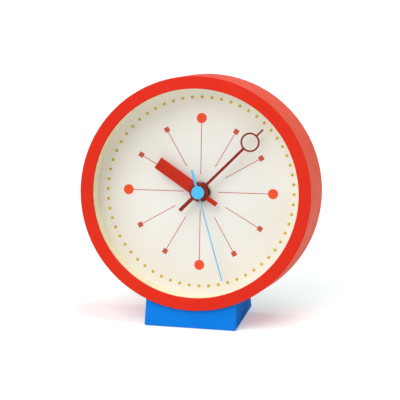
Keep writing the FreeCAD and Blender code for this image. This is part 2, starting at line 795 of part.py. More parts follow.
def movement_front_shell():
    """The front half of the movement's box, with the posts and bearings of the motion work."""
    body = lean_with_clock(new_body("movement_front_shell"))
    rounded_plate(body, "Box", "-shell_half_width", "shell_half_width", "-shell_bottom", "shell_top",
                  "-shell_split", "shell_split - dial_sheet", "shell_corner")
    hollow = new_sketch(body, "Hollow", "XY_Plane", SHELL_FLOOR)
    draw_shell(hollow, "shell_wall")
    pocket(body, "Inside", hollow, "shell_split - dial_sheet")
    shoulders = new_sketch(body, "PinShoulders", "XY_Plane", "-middle_face")
    pins = new_sketch(body, "PinSquares", "XY_Plane", MIDDLE_BACK)
    for across, along in PIN_PLACES:
        draw_square(shoulders, across, along, "(2 * pin_half_width)")
        draw_square(pins, across, along, "pin_half_width")
    pad(body, "Shoulders", shoulders, "middle_face + %s" % SHELL_FLOOR)
    pad(body, "Pins", pins, "middle_sheet")
    stud_end = "(-minute_level - seat_gap)"
    post(body, "MinuteStud", MINUTE_AXIS[0], MINUTE_AXIS[1], "minute_stud", stud_end,
         "%s - %s" % (SHELL_FLOOR, stud_end))
    contact_foot = new_sketch(body, "ContactFoot", "XY_Plane", CONTACT_SEAT)
    draw_square(contact_foot, "-contact_column", "-contact_row", "contact_foot_half")
    pad(body, "ContactPost", contact_foot, "%s - %s" % (SHELL_FLOOR, CONTACT_SEAT))
    # Bearings for the front ends of the third arbor and the two knobs.
    for name, axis, radius in (("Third", THIRD_AXIS, "wheel_arbor"), ("Setter", SETTER_AXIS, "knob_pivot"),
                               ("Alarm", ALARM_AXIS, "knob_pivot")):
        bore(body, name + "Bearing", axis[0], axis[1], radius + " + running_gap",
             "%s + bearing_depth" % SHELL_FLOOR, "bearing_depth")
    bore(body, "BushHole", "0", "0", "bush_radius + slip_gap", DIAL_BACK, "shell_front_plate")
    recess = new_sketch(body, "BushRecess", "XY_Plane", "%s + bush_flange_sheet" % SHELL_FLOOR)
    draw_square(recess, "0", "0", "(bush_flange_half + slip_gap)")
    pocket(body, "FlangeSeat", recess, "bush_flange_sheet")
    windows = new_sketch(body, "ClipWindows", "XY_Plane", "slip_gap - shell_split + clip_reach")
    for side in ("-", ""):
        for row in ("clip_low_row", "clip_high_row"):
            wall = "(shell_half_width - shell_wall / 2)"
            draw_rectangle(windows, "%s%s - shell_wall" % (side, wall), "%s%s + shell_wall" % (side, wall),
                           "%s - clip_width / 2 - slip_gap" % row, "%s + clip_width / 2 + slip_gap" % row)
    pocket(body, "Windows", windows, "clip_hook + 2 * slip_gap")
    return body


def movement_rear_shell():
    """The rear half of the movement's box, with the battery bay and the rear bearings."""
    body = lean_with_clock(new_body("movement_rear_shell"))
    rounded_plate(body, "Box", "-shell_half_width", "shell_half_width", "-shell_bottom", "shell_top",
                  "-shell_back", "shell_back - shell_split", "shell_corner")
    hollow = new_sketch(body, "Hollow", "XY_Plane", "-shell_split")
    draw_shell(hollow, "shell_wall")
    pocket(body, "Inside", hollow, "shell_back - shell_back_plate - shell_split")
    wall = new_sketch(body, "BayWall", "XY_Plane", SHELL_REAR_FLOOR)
    wall_foot = "battery_row + battery_radius + slip_gap"
    draw_rectangle(wall, "shell_wall - shell_half_width", "shell_half_width - shell_wall",
                   wall_foot, wall_foot + " + bay_wall")
    pad(body, "Partition", wall, "-shell_split - %s" % SHELL_REAR_FLOOR)
    inner_wall = new_sketch(body, "BayWallInner", "XY_Plane", "-shell_split")
    draw_rectangle(inner_wall, "shell_wall + slip_gap - shell_half_width",
                   "shell_half_width - shell_wall - slip_gap", wall_foot, wall_foot + " + bay_wall")
    pad(body, "PartitionInner", inner_wall, "%s - slip_gap + shell_split" % SHELL_FLOOR)
    add_clips(body)
    # Bearings for the rear ends of the second, intermediate and rotor arbors.
    for name, axis, radius in (("Second", ("0", "0"), "second_arbor"),
                               ("Intermediate", INTERMEDIATE_AXIS, "wheel_arbor"),
                               ("Rotor", ROTOR_AXIS, "wheel_arbor")):
        bore(body, name + "Bearing", axis[0], axis[1], radius + " + running_gap", SHELL_REAR_FLOOR,
             "bearing_depth")
    # Two pillars carry the stator, four low feet the circuit board.
    pillars = new_sketch(body, "StatorPillars", "XY_Plane", SHELL_REAR_FLOOR)
    for sign in ("-", "+"):
        draw_square(pillars, "%s %s (stator_half_length - stator_arm / 2)" % (ROTOR_AXIS[0], sign),
                    ROTOR_AXIS[1], "stator_arm / 3")
    pad(body, "Pillars", pillars, "-stator_face - stator_sheet - seat_gap - %s" % SHELL_REAR_FLOOR)
    feet = new_sketch(body, "BoardFeet", "XY_Plane", SHELL_REAR_FLOOR)
    for across in ("board_half_width - 2", "2 - board_half_width"):
        for along in ("board_top - 2", "board_bottom + 2"):
            draw_square(feet, across, along, "1")
    pad(body, "Feet", feet, "-board_face - board_sheet - seat_gap - %s" % SHELL_REAR_FLOOR)

    through = new_sketch(body, "ThroughHoles", "XY_Plane", SHELL_REAR_FLOOR)
    for axis in (SETTER_AXIS, ALARM_AXIS):
        draw_circle(through, axis[0], axis[1], "knob_shaft + running_gap")
    half_slot = "(switch_stem_length + slip_gap * 2) / 2"
    draw_rectangle(through, "-%s - switch_travel / 2" % half_slot,
                   "%s + switch_travel / 2" % half_slot,
                   "switch_row - switch_stem_width / 2 - slip_gap",
                   "switch_row + switch_stem_width / 2 + slip_gap")
    draw_rectangle(through, "-battery_length / 2 - slip_gap", "battery_length / 2 + slip_gap",
                   "battery_row - battery_radius - slip_gap", "battery_row + battery_radius + slip_gap")
    pocket(body, "Openings", through, "shell_back_plate")
    return body


def add_clips(body):
    """Four tongues on the rear shell, each with a hook that snaps into a window of the front shell."""
    tongues = new_sketch(body, "Tongues", "XY_Plane", SHELL_REAR_FLOOR)
    hooks = new_sketch(body, "Hooks", "XY_Plane", "clip_reach - clip_hook - shell_split")
    inside = "(shell_half_width - shell_wall - seat_gap)"
    for side in ("-", ""):
        for row in ("clip_low_row", "clip_high_row"):
            low = "%s - clip_width / 2" % row
            high = "%s + clip_width / 2" % row
            draw_rectangle(tongues, "%s(%s - clip_sheet)" % (side, inside), "%s%s" % (side, inside),
                           low, high)
            draw_rectangle(hooks, "%s(%s - clip_sheet)" % (side, inside),
                           "%s(%s + clip_hook)" % (side, inside), low, high)
    pad(body, "TonguePads", tongues, "clip_reach - shell_split - %s" % SHELL_REAR_FLOOR)
    pad(body, "HookPads", hooks, "clip_hook")


def middle_plate():
    """A T-shaped plate: the front pivots of the wheels behind it, the rear one of the third wheel.

    The knobs' shafts pass below its arms, on either side of its stem.
    """
    body = lean_with_clock(new_body("middle_plate"))
    outline = new_sketch(body, "Outline", "XY_Plane", MIDDLE_BACK)
    draw_outline(outline, [
        ("-middle_half_width", "middle_top"),
        ("-middle_half_width", "middle_waist"),
        ("-middle_stem_half_width", "middle_waist"),
        ("-middle_stem_half_width", "-middle_bottom"),
        ("middle_stem_half_width", "-middle_bottom"),
        ("middle_stem_half_width", "middle_waist"),
        ("middle_half_width", "middle_waist"),
        ("middle_half_width", "middle_top"),
    ])
    pad(body, "Plate", outline, "middle_sheet")
    holes = new_sketch(body, "Holes", "XY_Plane", "-middle_face")
    for across, along in PIN_PLACES:
        draw_square(holes, across, along, "(pin_half_width + press_gap)")
    draw_circle(holes, "0", "0", "second_arbor + running_gap")
    for axis in (THIRD_AXIS, INTERMEDIATE_AXIS, ROTOR_AXIS):
        draw_circle(holes, axis[0], axis[1], "wheel_arbor + running_gap")
    pocket(body, "Pierced", holes, "middle_sheet")
    return body


def centre_bush():
    """The threaded bush that clamps the movement to the dial; all the tubes turn inside it.

    Its square flange lies in a square seat in the shell, so that it can't turn with the nut.
    """
    body = lean_with_clock(new_body("centre_bush"))
    inside = "alarm_tube + running_gap"
    turned(body, "Bush", [
        (inside, SHELL_FLOOR),
        ("bush_radius", SHELL_FLOOR),
        ("bush_radius", "washer_sheet + nut_height"),
        (inside, "washer_sheet + nut_height"),
    ])
    flange = new_sketch(body, "FlangeOutline", "XY_Plane", SHELL_FLOOR)
    draw_square(flange, "0", "0", "bush_flange_half")
    draw_circle(flange, "0", "0", inside)
    pad(body, "Flange", flange, "bush_flange_sheet")
    return body


def centre_washer():
    body = lean_with_clock(new_body("centre_washer"))
    turned(body, "Washer", [
        ("bush_radius + slip_gap", "0"),
        ("washer_radius", "0"),
        ("washer_radius", "washer_sheet"),
        ("bush_radius + slip_gap", "washer_sheet"),
    ])
    return body


def centre_nut():
    body = lean_with_clock(new_body("centre_nut"))
    hexagon = new_sketch(body, "Hexagon", "XY_Plane", "washer_sheet")
    corners = [polar_place("(nut_flats / sqrt(3))", "%d" % (60 * step)) for step in range(6)]
    draw_outline(hexagon, corners)
    draw_circle(hexagon, "0", "0", "bush_radius + press_gap")
    pad(body, "Nut", hexagon, "nut_height")
    return body


# ---- Gear train ----

def teeth(body, name, count, module, rear, thickness, foot, crest, phase="0"):
    """A ring of straight-flanked teeth; each comes with half of the flat gap on either side of it."""
    root = "(%s * (%s / 2 - tooth_root))" % (module, count)
    tip = "(%s * (%s / 2 + tooth_tip))" % (module, count)
    half_pitch = "(180 / %s)" % count
    gap_middle = "(%s * cos(%s) + %s * %s * sin(%s))" % (root, half_pitch, foot, module, half_pitch)
    inside = "(%s - %s / 2)" % (root, module)
    half = [
        (root, "%s * %s" % (foot, module)),
        polar_place(gap_middle, half_pitch),
        polar_place(inside, half_pitch),
    ]
    sketch = new_sketch(body, name + "Tooth", "XY_Plane", rear, phase)
    outline = [(across, "-(%s)" % along) for across, along in reversed(half)]
    outline += [(tip, "-%s * %s" % (crest, module)), (tip, "%s * %s" % (crest, module))] + half
    draw_outline(sketch, outline)
    tooth = pad(body, name + "ToothPad", sketch, thickness)
    return polar_copies(body, name + "Teeth", [tooth], count)


def wheel_teeth(body, name, count, module, level, phase="0"):
    return teeth(body, name, count, module, "-%s" % level, "wheel_sheet", "wheel_tooth_foot",
                 "wheel_tooth_crest", phase)


def leaves(body, name, count, module, rear, thickness, phase="0"):
    return teeth(body, name, count, module, rear, thickness, "leaf_foot", "leaf_crest", phase)


def blank_radius(count, module):
    """The round of a gear that its ring of teeth stands on."""
    return "(%s * (%s / 2 - tooth_root - 0.25))" % (module, count)


def meshed(direction, count, own_count, phase="0"):
    """The turn of a gear that puts a gap where its neighbour, seen in a direction, has a tooth."""
    return "%s + 180 - 180 / %s + (%s - (%s)) * %s / %s" % (
        direction, own_count, direction, phase, count, own_count)


def second_wheel():
    """The second wheel on the long arbor that carries the second hand through every tube."""
    body = lean_with_clock(new_body("second_wheel"))
    pinion_front = "(-third_level + wheel_sheet + 0.1)"
    pinion_rear = "(-third_level - 0.1)"
    wheel_front = "(-second_level + wheel_sheet)"
    pinion = blank_radius("second_leaves", "third_module")
    turned(body, "Arbor", [
        ("0", ARBOR_REAR_END),
        ("second_arbor", ARBOR_REAR_END),
        ("second_arbor", "-second_level"),
        (blank_radius("second_teeth", "second_module"), "-second_level"),
        (blank_radius("second_teeth", "second_module"), wheel_front),
        ("second_arbor", wheel_front),
        ("second_arbor", pinion_rear),
        (pinion, pinion_rear),
        (pinion, pinion_front),
        ("second_arbor", pinion_front),
        ("second_arbor", "second_hand_face"),
        ("0", "second_hand_face"),
    ])
    leaves(body, "Pinion", "second_leaves", "third_module", pinion_rear, "wheel_sheet + 0.2")
    wheel_teeth(body, "Wheel", "second_teeth", "second_module", "second_level",
                meshed("(intermediate_angle + 180)", "intermediate_leaves", "second_teeth"))
    return body


def rotor():
    """The motor's round magnet on an arbor with the pinion that drives the train."""
    body = lean_with_clock(new_body("rotor"), ROTOR_AXIS[0], ROTOR_AXIS[1])
    pinion = blank_radius("rotor_leaves", "rotor_module")
    pinion_front = "(-intermediate_level + wheel_sheet + 0.1)"
    magnet_rear = "(-magnet_front - rotor_magnet_height)"
    turned(body, "Magnet", [
        ("0", ARBOR_REAR_END),
        ("wheel_arbor", ARBOR_REAR_END),
        ("wheel_arbor", magnet_rear),
        ("rotor_magnet", magnet_rear),
        ("rotor_magnet", "-magnet_front"),
        (pinion, "-magnet_front"),
        (pinion, pinion_front),
        ("wheel_arbor", pinion_front),
        ("wheel_arbor", "-middle_face"),
        ("0", "-middle_face"),
    ])
    leaves(body, "Pinion", "rotor_leaves", "rotor_module", "-intermediate_level - 0.1",
           "wheel_sheet + 0.2")
    return body


def intermediate_wheel():
    body = lean_with_clock(new_body("intermediate_wheel"), INTERMEDIATE_AXIS[0], INTERMEDIATE_AXIS[1])
    pinion = blank_radius("intermediate_leaves", "second_module")
    wheel = blank_radius("intermediate_teeth", "rotor_module")
    wheel_front = "(-intermediate_level + wheel_sheet)"
    pinion_front = "(-second_level + wheel_sheet + 0.1)"
    turned(body, "Arbor", [
        ("0", ARBOR_REAR_END),
        ("wheel_arbor", ARBOR_REAR_END),
        ("wheel_arbor", "-intermediate_level"),
        (wheel, "-intermediate_level"),
        (wheel, wheel_front),
        (pinion, wheel_front),
        (pinion, pinion_front),
        ("wheel_arbor", pinion_front),
        ("wheel_arbor", "-middle_face"),
        ("0", "-middle_face"),
    ])
    leaves(body, "Pinion", "intermediate_leaves", "second_module", wheel_front,
           "%s - %s" % (pinion_front, wheel_front))
    wheel_teeth(body, "Wheel", "intermediate_teeth", "rotor_module", "intermediate_level",
                meshed("(rotor_angle + 180)", "rotor_leaves", "intermediate_teeth"))
    return body


def third_wheel():
    body = lean_with_clock(new_body("third_wheel"), THIRD_AXIS[0], THIRD_AXIS[1])
    pinion = blank_radius("third_leaves", CENTRE_MODULE)
    wheel = blank_radius("third_teeth", "third_module")
    wheel_front = "(-third_level + wheel_sheet)"
    pinion_front = "(-centre_level + wheel_sheet + 0.1)"
    turned(body, "Arbor", [
        ("0", MIDDLE_BACK),
        ("wheel_arbor", MIDDLE_BACK),
        ("wheel_arbor", "-third_level"),
        (wheel, "-third_level"),
        (wheel, wheel_front),
        (pinion, wheel_front),
        (pinion, pinion_front),
        ("wheel_arbor", pinion_front),
        ("wheel_arbor", ARBOR_FRONT_END),
        ("0", ARBOR_FRONT_END),
    ])
    leaves(body, "Pinion", "third_leaves", CENTRE_MODULE, wheel_front,
           "%s - %s" % (pinion_front, wheel_front))
    wheel_teeth(body, "Wheel", "third_teeth", "third_module", "third_level",
                meshed("third_angle", "second_leaves", "third_teeth"))
    return body


def centre_wheel():
    """The centre wheel with the cannon pinion and the tube that carries the minute hand."""
    body = lean_with_clock(new_body("centre_wheel"))
    wheel = blank_radius("centre_teeth", CENTRE_MODULE)
    pinion = blank_radius("cannon_leaves", "cannon_module")
    wheel_front = "(-centre_level + wheel_sheet)"
    pinion_front = "(-minute_level + wheel_sheet + 0.1)"
    turned(body, "Cannon", [
        ("second_arbor + running_gap", "-centre_level"),
        (wheel, "-centre_level"),
        (wheel, wheel_front),
        (pinion, wheel_front),
        (pinion, pinion_front),
        ("minute_tube", pinion_front),
        ("minute_tube", "minute_hand_face"),
        ("second_arbor + running_gap", "minute_hand_face"),
    ])
    leaves(body, "Pinion", "cannon_leaves", "cannon_module", wheel_front,
           "%s - %s" % (pinion_front, wheel_front))
    wheel_teeth(body, "Wheel", "centre_teeth", CENTRE_MODULE, "centre_level",
                meshed("(third_angle + 180)", "third_leaves", "centre_teeth"))
    return body


MINUTE_WHEEL_PHASE = meshed("minute_angle", "cannon_leaves", "minute_teeth")


def minute_wheel():
    """The motion work's idler: it turns loose on a stud and drives the hour wheel."""
    body = lean_with_clock(new_body("minute_wheel"), MINUTE_AXIS[0], MINUTE_AXIS[1])
    pinion = blank_radius("minute_leaves", HOUR_MODULE)
    wheel = blank_radius("minute_teeth", "cannon_module")
    wheel_front = "(-minute_level + wheel_sheet)"
    pinion_front = "(-hour_level + wheel_sheet + 0.1)"
    turned(body, "Wheel", [
        ("minute_stud + running_gap", "-minute_level"),
        (wheel, "-minute_level"),
        (wheel, wheel_front),
        (pinion, wheel_front),
        (pinion, pinion_front),
        ("minute_stud + running_gap", pinion_front),
    ])
    leaves(body, "Pinion", "minute_leaves", HOUR_MODULE, wheel_front,
           "%s - %s" % (pinion_front, wheel_front))
    wheel_teeth(body, "Rim", "minute_teeth", "cannon_module", "minute_level", MINUTE_WHEEL_PHASE)
    return body


def hour_wheel():
    body = lean_with_clock(new_body("hour_wheel"))
    wheel = blank_radius("hour_teeth", HOUR_MODULE)
    wheel_front = "(-hour_level + wheel_sheet)"
    turned(body, "Wheel", [
        ("minute_tube + running_gap", "-hour_level"),
        (wheel, "-hour_level"),
        (wheel, wheel_front),
        ("hour_tube", wheel_front),
        ("hour_tube", "hour_hand_face"),
        ("minute_tube + running_gap", "hour_hand_face"),
    ])
    wheel_teeth(body, "Rim", "hour_teeth", HOUR_MODULE, "hour_level",
                meshed("(minute_angle + 180)", "minute_leaves", "hour_teeth"))
    return body


def alarm_wheel():
    body = lean_with_clock(new_body("alarm_wheel"))
    wheel = blank_radius("alarm_teeth", "alarm_module")
    wheel_front = "(-alarm_level + wheel_sheet)"
    turned(body, "Wheel", [
        ("hour_tube + running_gap", "-alarm_level"),
        (wheel, "-alarm_level"),
        (wheel, wheel_front),
        ("alarm_tube", wheel_front),
        ("alarm_tube", "alarm_hand_face"),
        ("hour_tube + running_gap", "alarm_hand_face"),
    ])
    wheel_teeth(body, "Rim", "alarm_teeth", "alarm_module", "alarm_level")
    return body


# ---- Setting knobs ----

def knob(label, axis, gear_count, gear_module, gear_level, phase):
    """A ribbed knob behind the cover, whose shaft reaches in to its gear near the dial."""
    body = lean_with_clock(new_body(label), axis[0], axis[1])
    knob_front = "(%s - knob_stand_off)" % COVER_BACK
    gear = blank_radius(gear_count, gear_module)
    gear_front = "(-%s + wheel_sheet)" % gear_level
    grip = new_sketch(body, "GripOutline", "XY_Plane", knob_front + " - knob_height")
    corners = []
    for rib in range(SIZES["knob_ribs"]):
        for share, radius in ((0.0, "knob_radius"), (0.5, "(knob_radius - knob_rib_height)")):
            corners.append(polar_place(radius, "(%.1f * 360 / knob_ribs)" % (rib + share)))
    draw_outline(grip, corners)
    pad(body, "Grip", grip, "knob_height")
    turned(body, "Shaft", [
        ("0", knob_front),
        ("knob_shaft", knob_front),
        ("knob_shaft", "-" + gear_level),
        (gear, "-" + gear_level),
        (gear, gear_front),
        ("knob_pivot", gear_front),
        ("knob_pivot", ARBOR_FRONT_END),
        ("0", ARBOR_FRONT_END),
    ])
    leaves(body, "Gear", gear_count, gear_module, "-" + gear_level, "wheel_sheet", phase)
    return body


def time_knob():
    phase = meshed("setter_angle", "minute_teeth", "setter_leaves", MINUTE_WHEEL_PHASE)
    return knob("time_knob", SETTER_AXIS, "setter_leaves", "cannon_module", "minute_level", phase)


def alarm_knob():
    phase = meshed("alarm_setter_angle", "alarm_teeth", "alarm_setter_teeth")
    return knob("alarm_knob", ALARM_AXIS, "alarm_setter_teeth", "alarm_module", "alarm_level", phase)


# ---- Hands ----

def hand_bar(body, name, half_width, start, end, face, angle):
    """A straight stretch of a hand along its own length, turned clockwise to where it points."""
    sketch = new_sketch(body, name + "Outline", "XY_Plane", "%s - hand_sheet" % face, "-%s" % angle)
    draw_rectangle(sketch, "-" + half_width, half_width, start, end)
    return pad(body, name, sketch, "hand_sheet")


def hand_hub(body, radius, tube, face):
    hub = new_sketch(body, "HubCircles", "XY_Plane", "%s - hand_sheet" % face)
    draw_circle(hub, "0", "0", radius)
    draw_circle(hub, "0", "0", "%s + press_gap" % tube)
    return pad(body, "Hub", hub, "hand_sheet")


def ream_hub(body, tube, face):
    return bore(body, "Ream", "0", "0", "%s + press_gap" % tube, face, "hand_sheet")


def hour_hand():
    """A wide square-ended bar with a narrow tail."""
    body = lean_with_clock(new_body("hour_hand"))
    hand_hub(body, "hour_hand_hub", "hour_tube", "hour_hand_face")
    hand_bar(body, "Blade", "hour_hand_width / 2", "hour_hand_hub / 2", "hour_hand_length",
             "hour_hand_face", "hour_hand_angle")
    hand_bar(body, "Tail", "hour_hand_tail_width / 2", "-hour_hand_tail", "-hour_hand_hub / 2",
             "hour_hand_face", "hour_hand_angle")
    ream_hub(body, "hour_tube", "hour_hand_face")
    return body


def minute_hand():
    """A thin rod that opens into a ring and ends in a short tip."""
    body = lean_with_clock(new_body("minute_hand"))
    face = "minute_hand_face"
    angle = "minute_hand_angle"
    hand_hub(body, "minute_hand_hub", "minute_tube", face)
    inner = "(minute_hand_ring_radius - minute_hand_ring_line)"
    middle_line = "(minute_hand_ring_radius - minute_hand_ring_line / 2)"
    hand_bar(body, "Rod", "minute_hand_width / 2", "minute_hand_hub / 2",
             "minute_hand_ring_place - %s" % middle_line, face, angle)
    hand_bar(body, "Tail", "minute_hand_tail_width / 2", "-minute_hand_tail", "-minute_hand_hub / 2",
             face, angle)
    ring = new_sketch(body, "RingCircles", "XY_Plane", "%s - hand_sheet" % face, "-" + angle)
    draw_circle(ring, "0", "minute_hand_ring_place", "minute_hand_ring_radius")
    draw_circle(ring, "0", "minute_hand_ring_place", inner)
    pad(body, "Ring", ring, "hand_sheet")
    hand_bar(body, "Tip", "minute_hand_tip_width / 2", "minute_hand_ring_place + %s" % middle_line,
             "minute_hand_length", face, angle)
    return body


def second_hand():
    """A needle with a short tail under a round cap that hides the arbor's end."""
    body = lean_with_clock(new_body("second_hand"))
    face = "second_hand_face"
    hand_bar(body, "Needle", "second_hand_width / 2", "second_cap_radius / 2", "second_hand_length",
             face, "second_hand_angle")
    turned(body, "Cap", [
        ("second_arbor + press_gap", face + " - hand_sheet"),
        ("second_cap_radius", face + " - hand_sheet"),
        ("second_cap_radius", face + " - hand_sheet + second_cap_height"),
        ("0", face + " - hand_sheet + second_cap_height"),
        ("0", face),
        ("second_arbor + press_gap", face),
    ])
    hand_bar(body, "Tail", "second_hand_tail_width / 2", "-second_hand_tail", "-second_cap_radius / 2",
             face, "second_hand_angle")
    return body


def alarm_hand():
    """A slim hand that lies under the hour hand while the alarm is set to the same time."""
    body = lean_with_clock(new_body("alarm_hand"))
    hand_hub(body, "alarm_hand_hub", "alarm_tube", "alarm_hand_face")
    hand_bar(body, "Blade", "alarm_hand_width / 2", "(alarm_tube + alarm_hand_hub) / 2",
             "alarm_hand_length", "alarm_hand_face", "hour_hand_angle")
    return body


# ---- Motor ----

def stator():
    """A soft-iron plate round the rotor with two arms up to the coil's core."""
    body = lean_with_clock(new_body("stator"), ROTOR_AXIS[0], ROTOR_AXIS[1])
    rear = "(-stator_face - stator_sheet)"
    outline = new_sketch(body, "Outline", "XY_Plane", rear)
    half = "stator_half_length"
    rise = "(coil_distance + core_width / 2)"
    cheek = "(rotor_magnet + stator_hole_gap + 1.1)"
    draw_outline(outline, [
        ("-" + half, "-" + cheek),
        (half, "-" + cheek),
        (half, rise),
        (half + " - stator_arm", rise),
        (half + " - stator_arm", cheek),
        ("stator_arm - " + half, cheek),
        ("stator_arm - " + half, rise),
        ("-" + half, rise),
    ])
    draw_circle(outline, "0", "0", "rotor_magnet + stator_hole_gap")
    pad(body, "Plate", outline, "stator_sheet")
    return body


def coil_core():
    body = lean_with_clock(new_body("coil_core"), ROTOR_AXIS[0], COIL_ROW)
    bar = new_sketch(body, "Bar", "XY_Plane", "-stator_face")
    draw_rectangle(bar, "-stator_half_length", "stator_half_length", "-core_width / 2", "core_width / 2")
    pad(body, "Core", bar, "stator_sheet")
    return body


def coil_bobbin():
    """A moulded reel on the core, with a square flange at each end."""
    body = lean_with_clock(new_body("coil_bobbin"), ROTOR_AXIS[0], COIL_ROW)
    middle = "(stator_sheet / 2 - stator_face)"
    barrel = new_sketch(body, "BarrelCircle", "YZ_Plane", "-bobbin_length / 2")
    draw_circle(barrel, "0", middle, "bobbin_radius")
    pad(body, "Barrel", barrel, "bobbin_length")
    for name, start in (("LeftFlange", "-bobbin_length / 2"),
                        ("RightFlange", "bobbin_length / 2 - bobbin_flange_sheet")):
        square = new_sketch(body, name + "Square", "YZ_Plane", start)
        draw_square(square, "0", middle, "bobbin_flange_half")
        pad(body, name, square, "bobbin_flange_sheet")
    passage = new_sketch(body, "Passage", "YZ_Plane", "bobbin_length / 2")
    draw_rectangle(passage, "-core_width / 2 - seat_gap", "core_width / 2 + seat_gap",
                   "-stator_face - seat_gap", "stator_sheet - stator_face + seat_gap")
    pocket(body, "CoreWay", passage, "bobbin_length")
    return body


def coil_winding():
    body = lean_with_clock(new_body("coil_winding"), ROTOR_AXIS[0], COIL_ROW)
    inside_flanges = "(bobbin_length / 2 - bobbin_flange_sheet - seat_gap)"
    ring = new_sketch(body, "Ring", "YZ_Plane", "-" + inside_flanges)
    middle = "(stator_sheet / 2 - stator_face)"
    draw_circle(ring, "0", middle, "coil_radius")
    draw_circle(ring, "0", middle, "bobbin_radius + press_gap")
    pad(body, "Winding", ring, "2 * %s" % inside_flanges)
    return body


# ---- Electronics ----

def circuit_board():
    body = lean_with_clock(new_body("circuit_board"))
    rounded_plate(body, "Board", "-board_half_width", "board_half_width", "board_bottom", "board_top",
                  "-board_face - board_sheet", "board_sheet", "1")
    return body


def control_chip():
    """The chip under its black drop of resin on the board's front."""
    body = lean_with_clock(new_body("control_chip"), "board_half_width / 2", "(board_top + board_bottom) / 2")
    turned(body, "Drop", [
        ("0", "-board_face"),
        ("chip_radius", "-board_face"),
        ("chip_radius * 0.6", "chip_height - board_face"),
        ("0", "chip_height - board_face"),
    ])
    return body


def quartz_crystal():
    """The crystal's small metal can, lying on the board."""
    body = lean_with_clock(new_body("quartz_crystal"), "-board_half_width / 2", "board_bottom + 4")
    end = new_sketch(body, "End", "YZ_Plane", "-crystal_length / 2")
    draw_circle(end, "0", "crystal_radius - board_face", "crystal_radius")
    pad(body, "Can", end, "crystal_length")
    return body


def battery():
    """An AA cell, its positive nub to the right as seen from the front."""
    body = new_body("battery")
    lean_with_clock(body, "0", "battery_row")
    start = "-battery_length / 2"
    for name, radius, at, length in (
            ("Can", "battery_radius", start, "battery_length - battery_nub_height"),
            ("Nub", "battery_nub", "battery_length / 2 - battery_nub_height", "battery_nub_height")):
        circle = new_sketch(body, name + "Circle", "YZ_Plane", at)
        draw_circle(circle, "0", "-battery_depth", radius)
        pad(body, name, circle, length)
    return body


def battery_contact(label, sign):
    """A folded strip: one leg against the shell's end wall, one against the cell."""
    body = lean_with_clock(new_body(label), "0", "battery_row - contact_width / 2")
    strip = new_sketch(body, "Fold", "XZ_Plane")
    outer = "(shell_half_width - shell_wall - seat_gap)"
    inner = "(battery_length / 2 + seat_gap)"
    top = "(%s - seat_gap)" % SHELL_FLOOR
    foot = "(-battery_depth - 3.5)"
    corners = [
        (outer, foot),
        (outer, top),
        (inner, top),
        (inner, foot),
        (inner + " + contact_sheet", foot),
        (inner + " + contact_sheet", top + " - contact_sheet"),
        (outer + " - contact_sheet", top + " - contact_sheet"),
        (outer + " - contact_sheet", foot),
    ]
    draw_outline(strip, [("%s(%s)" % (sign, across), height) for across, height in corners])
    fold = pad(body, "Strip", strip, "contact_width")
    fold.Reversed = True
    return body


def alarm_contact():
    """A leaf from its post to the back of the hour wheel; it closes when the alarm's cam lets go."""
    body = lean_with_clock(new_body("alarm_contact"))
    leaf = new_sketch(body, "Leaf", "XY_Plane", CONTACT_SEAT + " - alarm_spring_sheet")
    draw_rectangle(leaf, "-contact_column - contact_foot_half", "-cannon_module * (cannon_leaves / 2 + 2)",
                   "-contact_row - alarm_spring_width / 2", "-contact_row + alarm_spring_width / 2")
    pad(body, "Spring", leaf, "alarm_spring_sheet")
    return body


def sounder():
    body = lean_with_clock(new_body("sounder"), "0", SOUNDER_ROW)
    turned(body, "Can", [
        ("0", RABBET_FACE),
        ("sounder_radius", RABBET_FACE),
        ("sounder_radius", RABBET_FACE + " + sounder_height"),
        ("0", RABBET_FACE + " + sounder_height"),
    ])
    return body


def sounder_leads():
    """Two short insulated leads from the movement's top wall to the sounder's side."""
    body = lean_with_clock(new_body("sounder_leads"))
    # The body's XZ plane has its normal towards -y, so an offset of minus y starts up there.
    rise = "sqrt(sounder_radius ^ 2 - (lead_half_pitch - lead_radius) ^ 2)"
    reach = "(%s - seat_gap - %s)" % (SOUNDER_ROW, rise)
    ends = new_sketch(body, "Ends", "XZ_Plane", "-%s" % reach)
    for sign in ("-", ""):
        draw_circle(ends, sign + "lead_half_pitch", "-lead_depth", "lead_radius")
    pad(body, "Leads", ends, "%s - shell_top" % reach)
    return body


def alarm_switch():
    """A slider through the cover's slot, with a flange inside and a wiper end at the board."""
    body = lean_with_clock(new_body("alarm_switch"), "-switch_travel / 2", "switch_row")
    stem = new_sketch(body, "Stem", "XY_Plane", COVER_BACK + " - slip_gap")
    draw_rectangle(stem, "-switch_stem_length / 2", "switch_stem_length / 2",
                   "-switch_stem_width / 2", "switch_stem_width / 2")
    stem_length = "-board_face - board_sheet - slip_gap - %s + slip_gap" % COVER_BACK
    pad(body, "Bar", stem, stem_length)
    flange = new_sketch(body, "Flange", "XY_Plane", RABBET_FACE + " + slip_gap")
    draw_rectangle(flange, "-switch_stem_length / 2 - switch_flange",
                   "switch_stem_length / 2 + switch_flange",
                   "-switch_stem_width / 2 - switch_flange", "switch_stem_width / 2 + switch_flange")
    pad(body, "Stop", flange, "switch_flange_sheet")
    button = new_sketch(body, "Button", "XY_Plane", COVER_BACK + " - slip_gap - switch_button_height")
    draw_rectangle(button, "-switch_button_length / 2", "switch_button_length / 2",
                   "-switch_button_width / 2", "switch_button_width / 2")
    pad(body, "Cap", button, "switch_button_height")
    return body


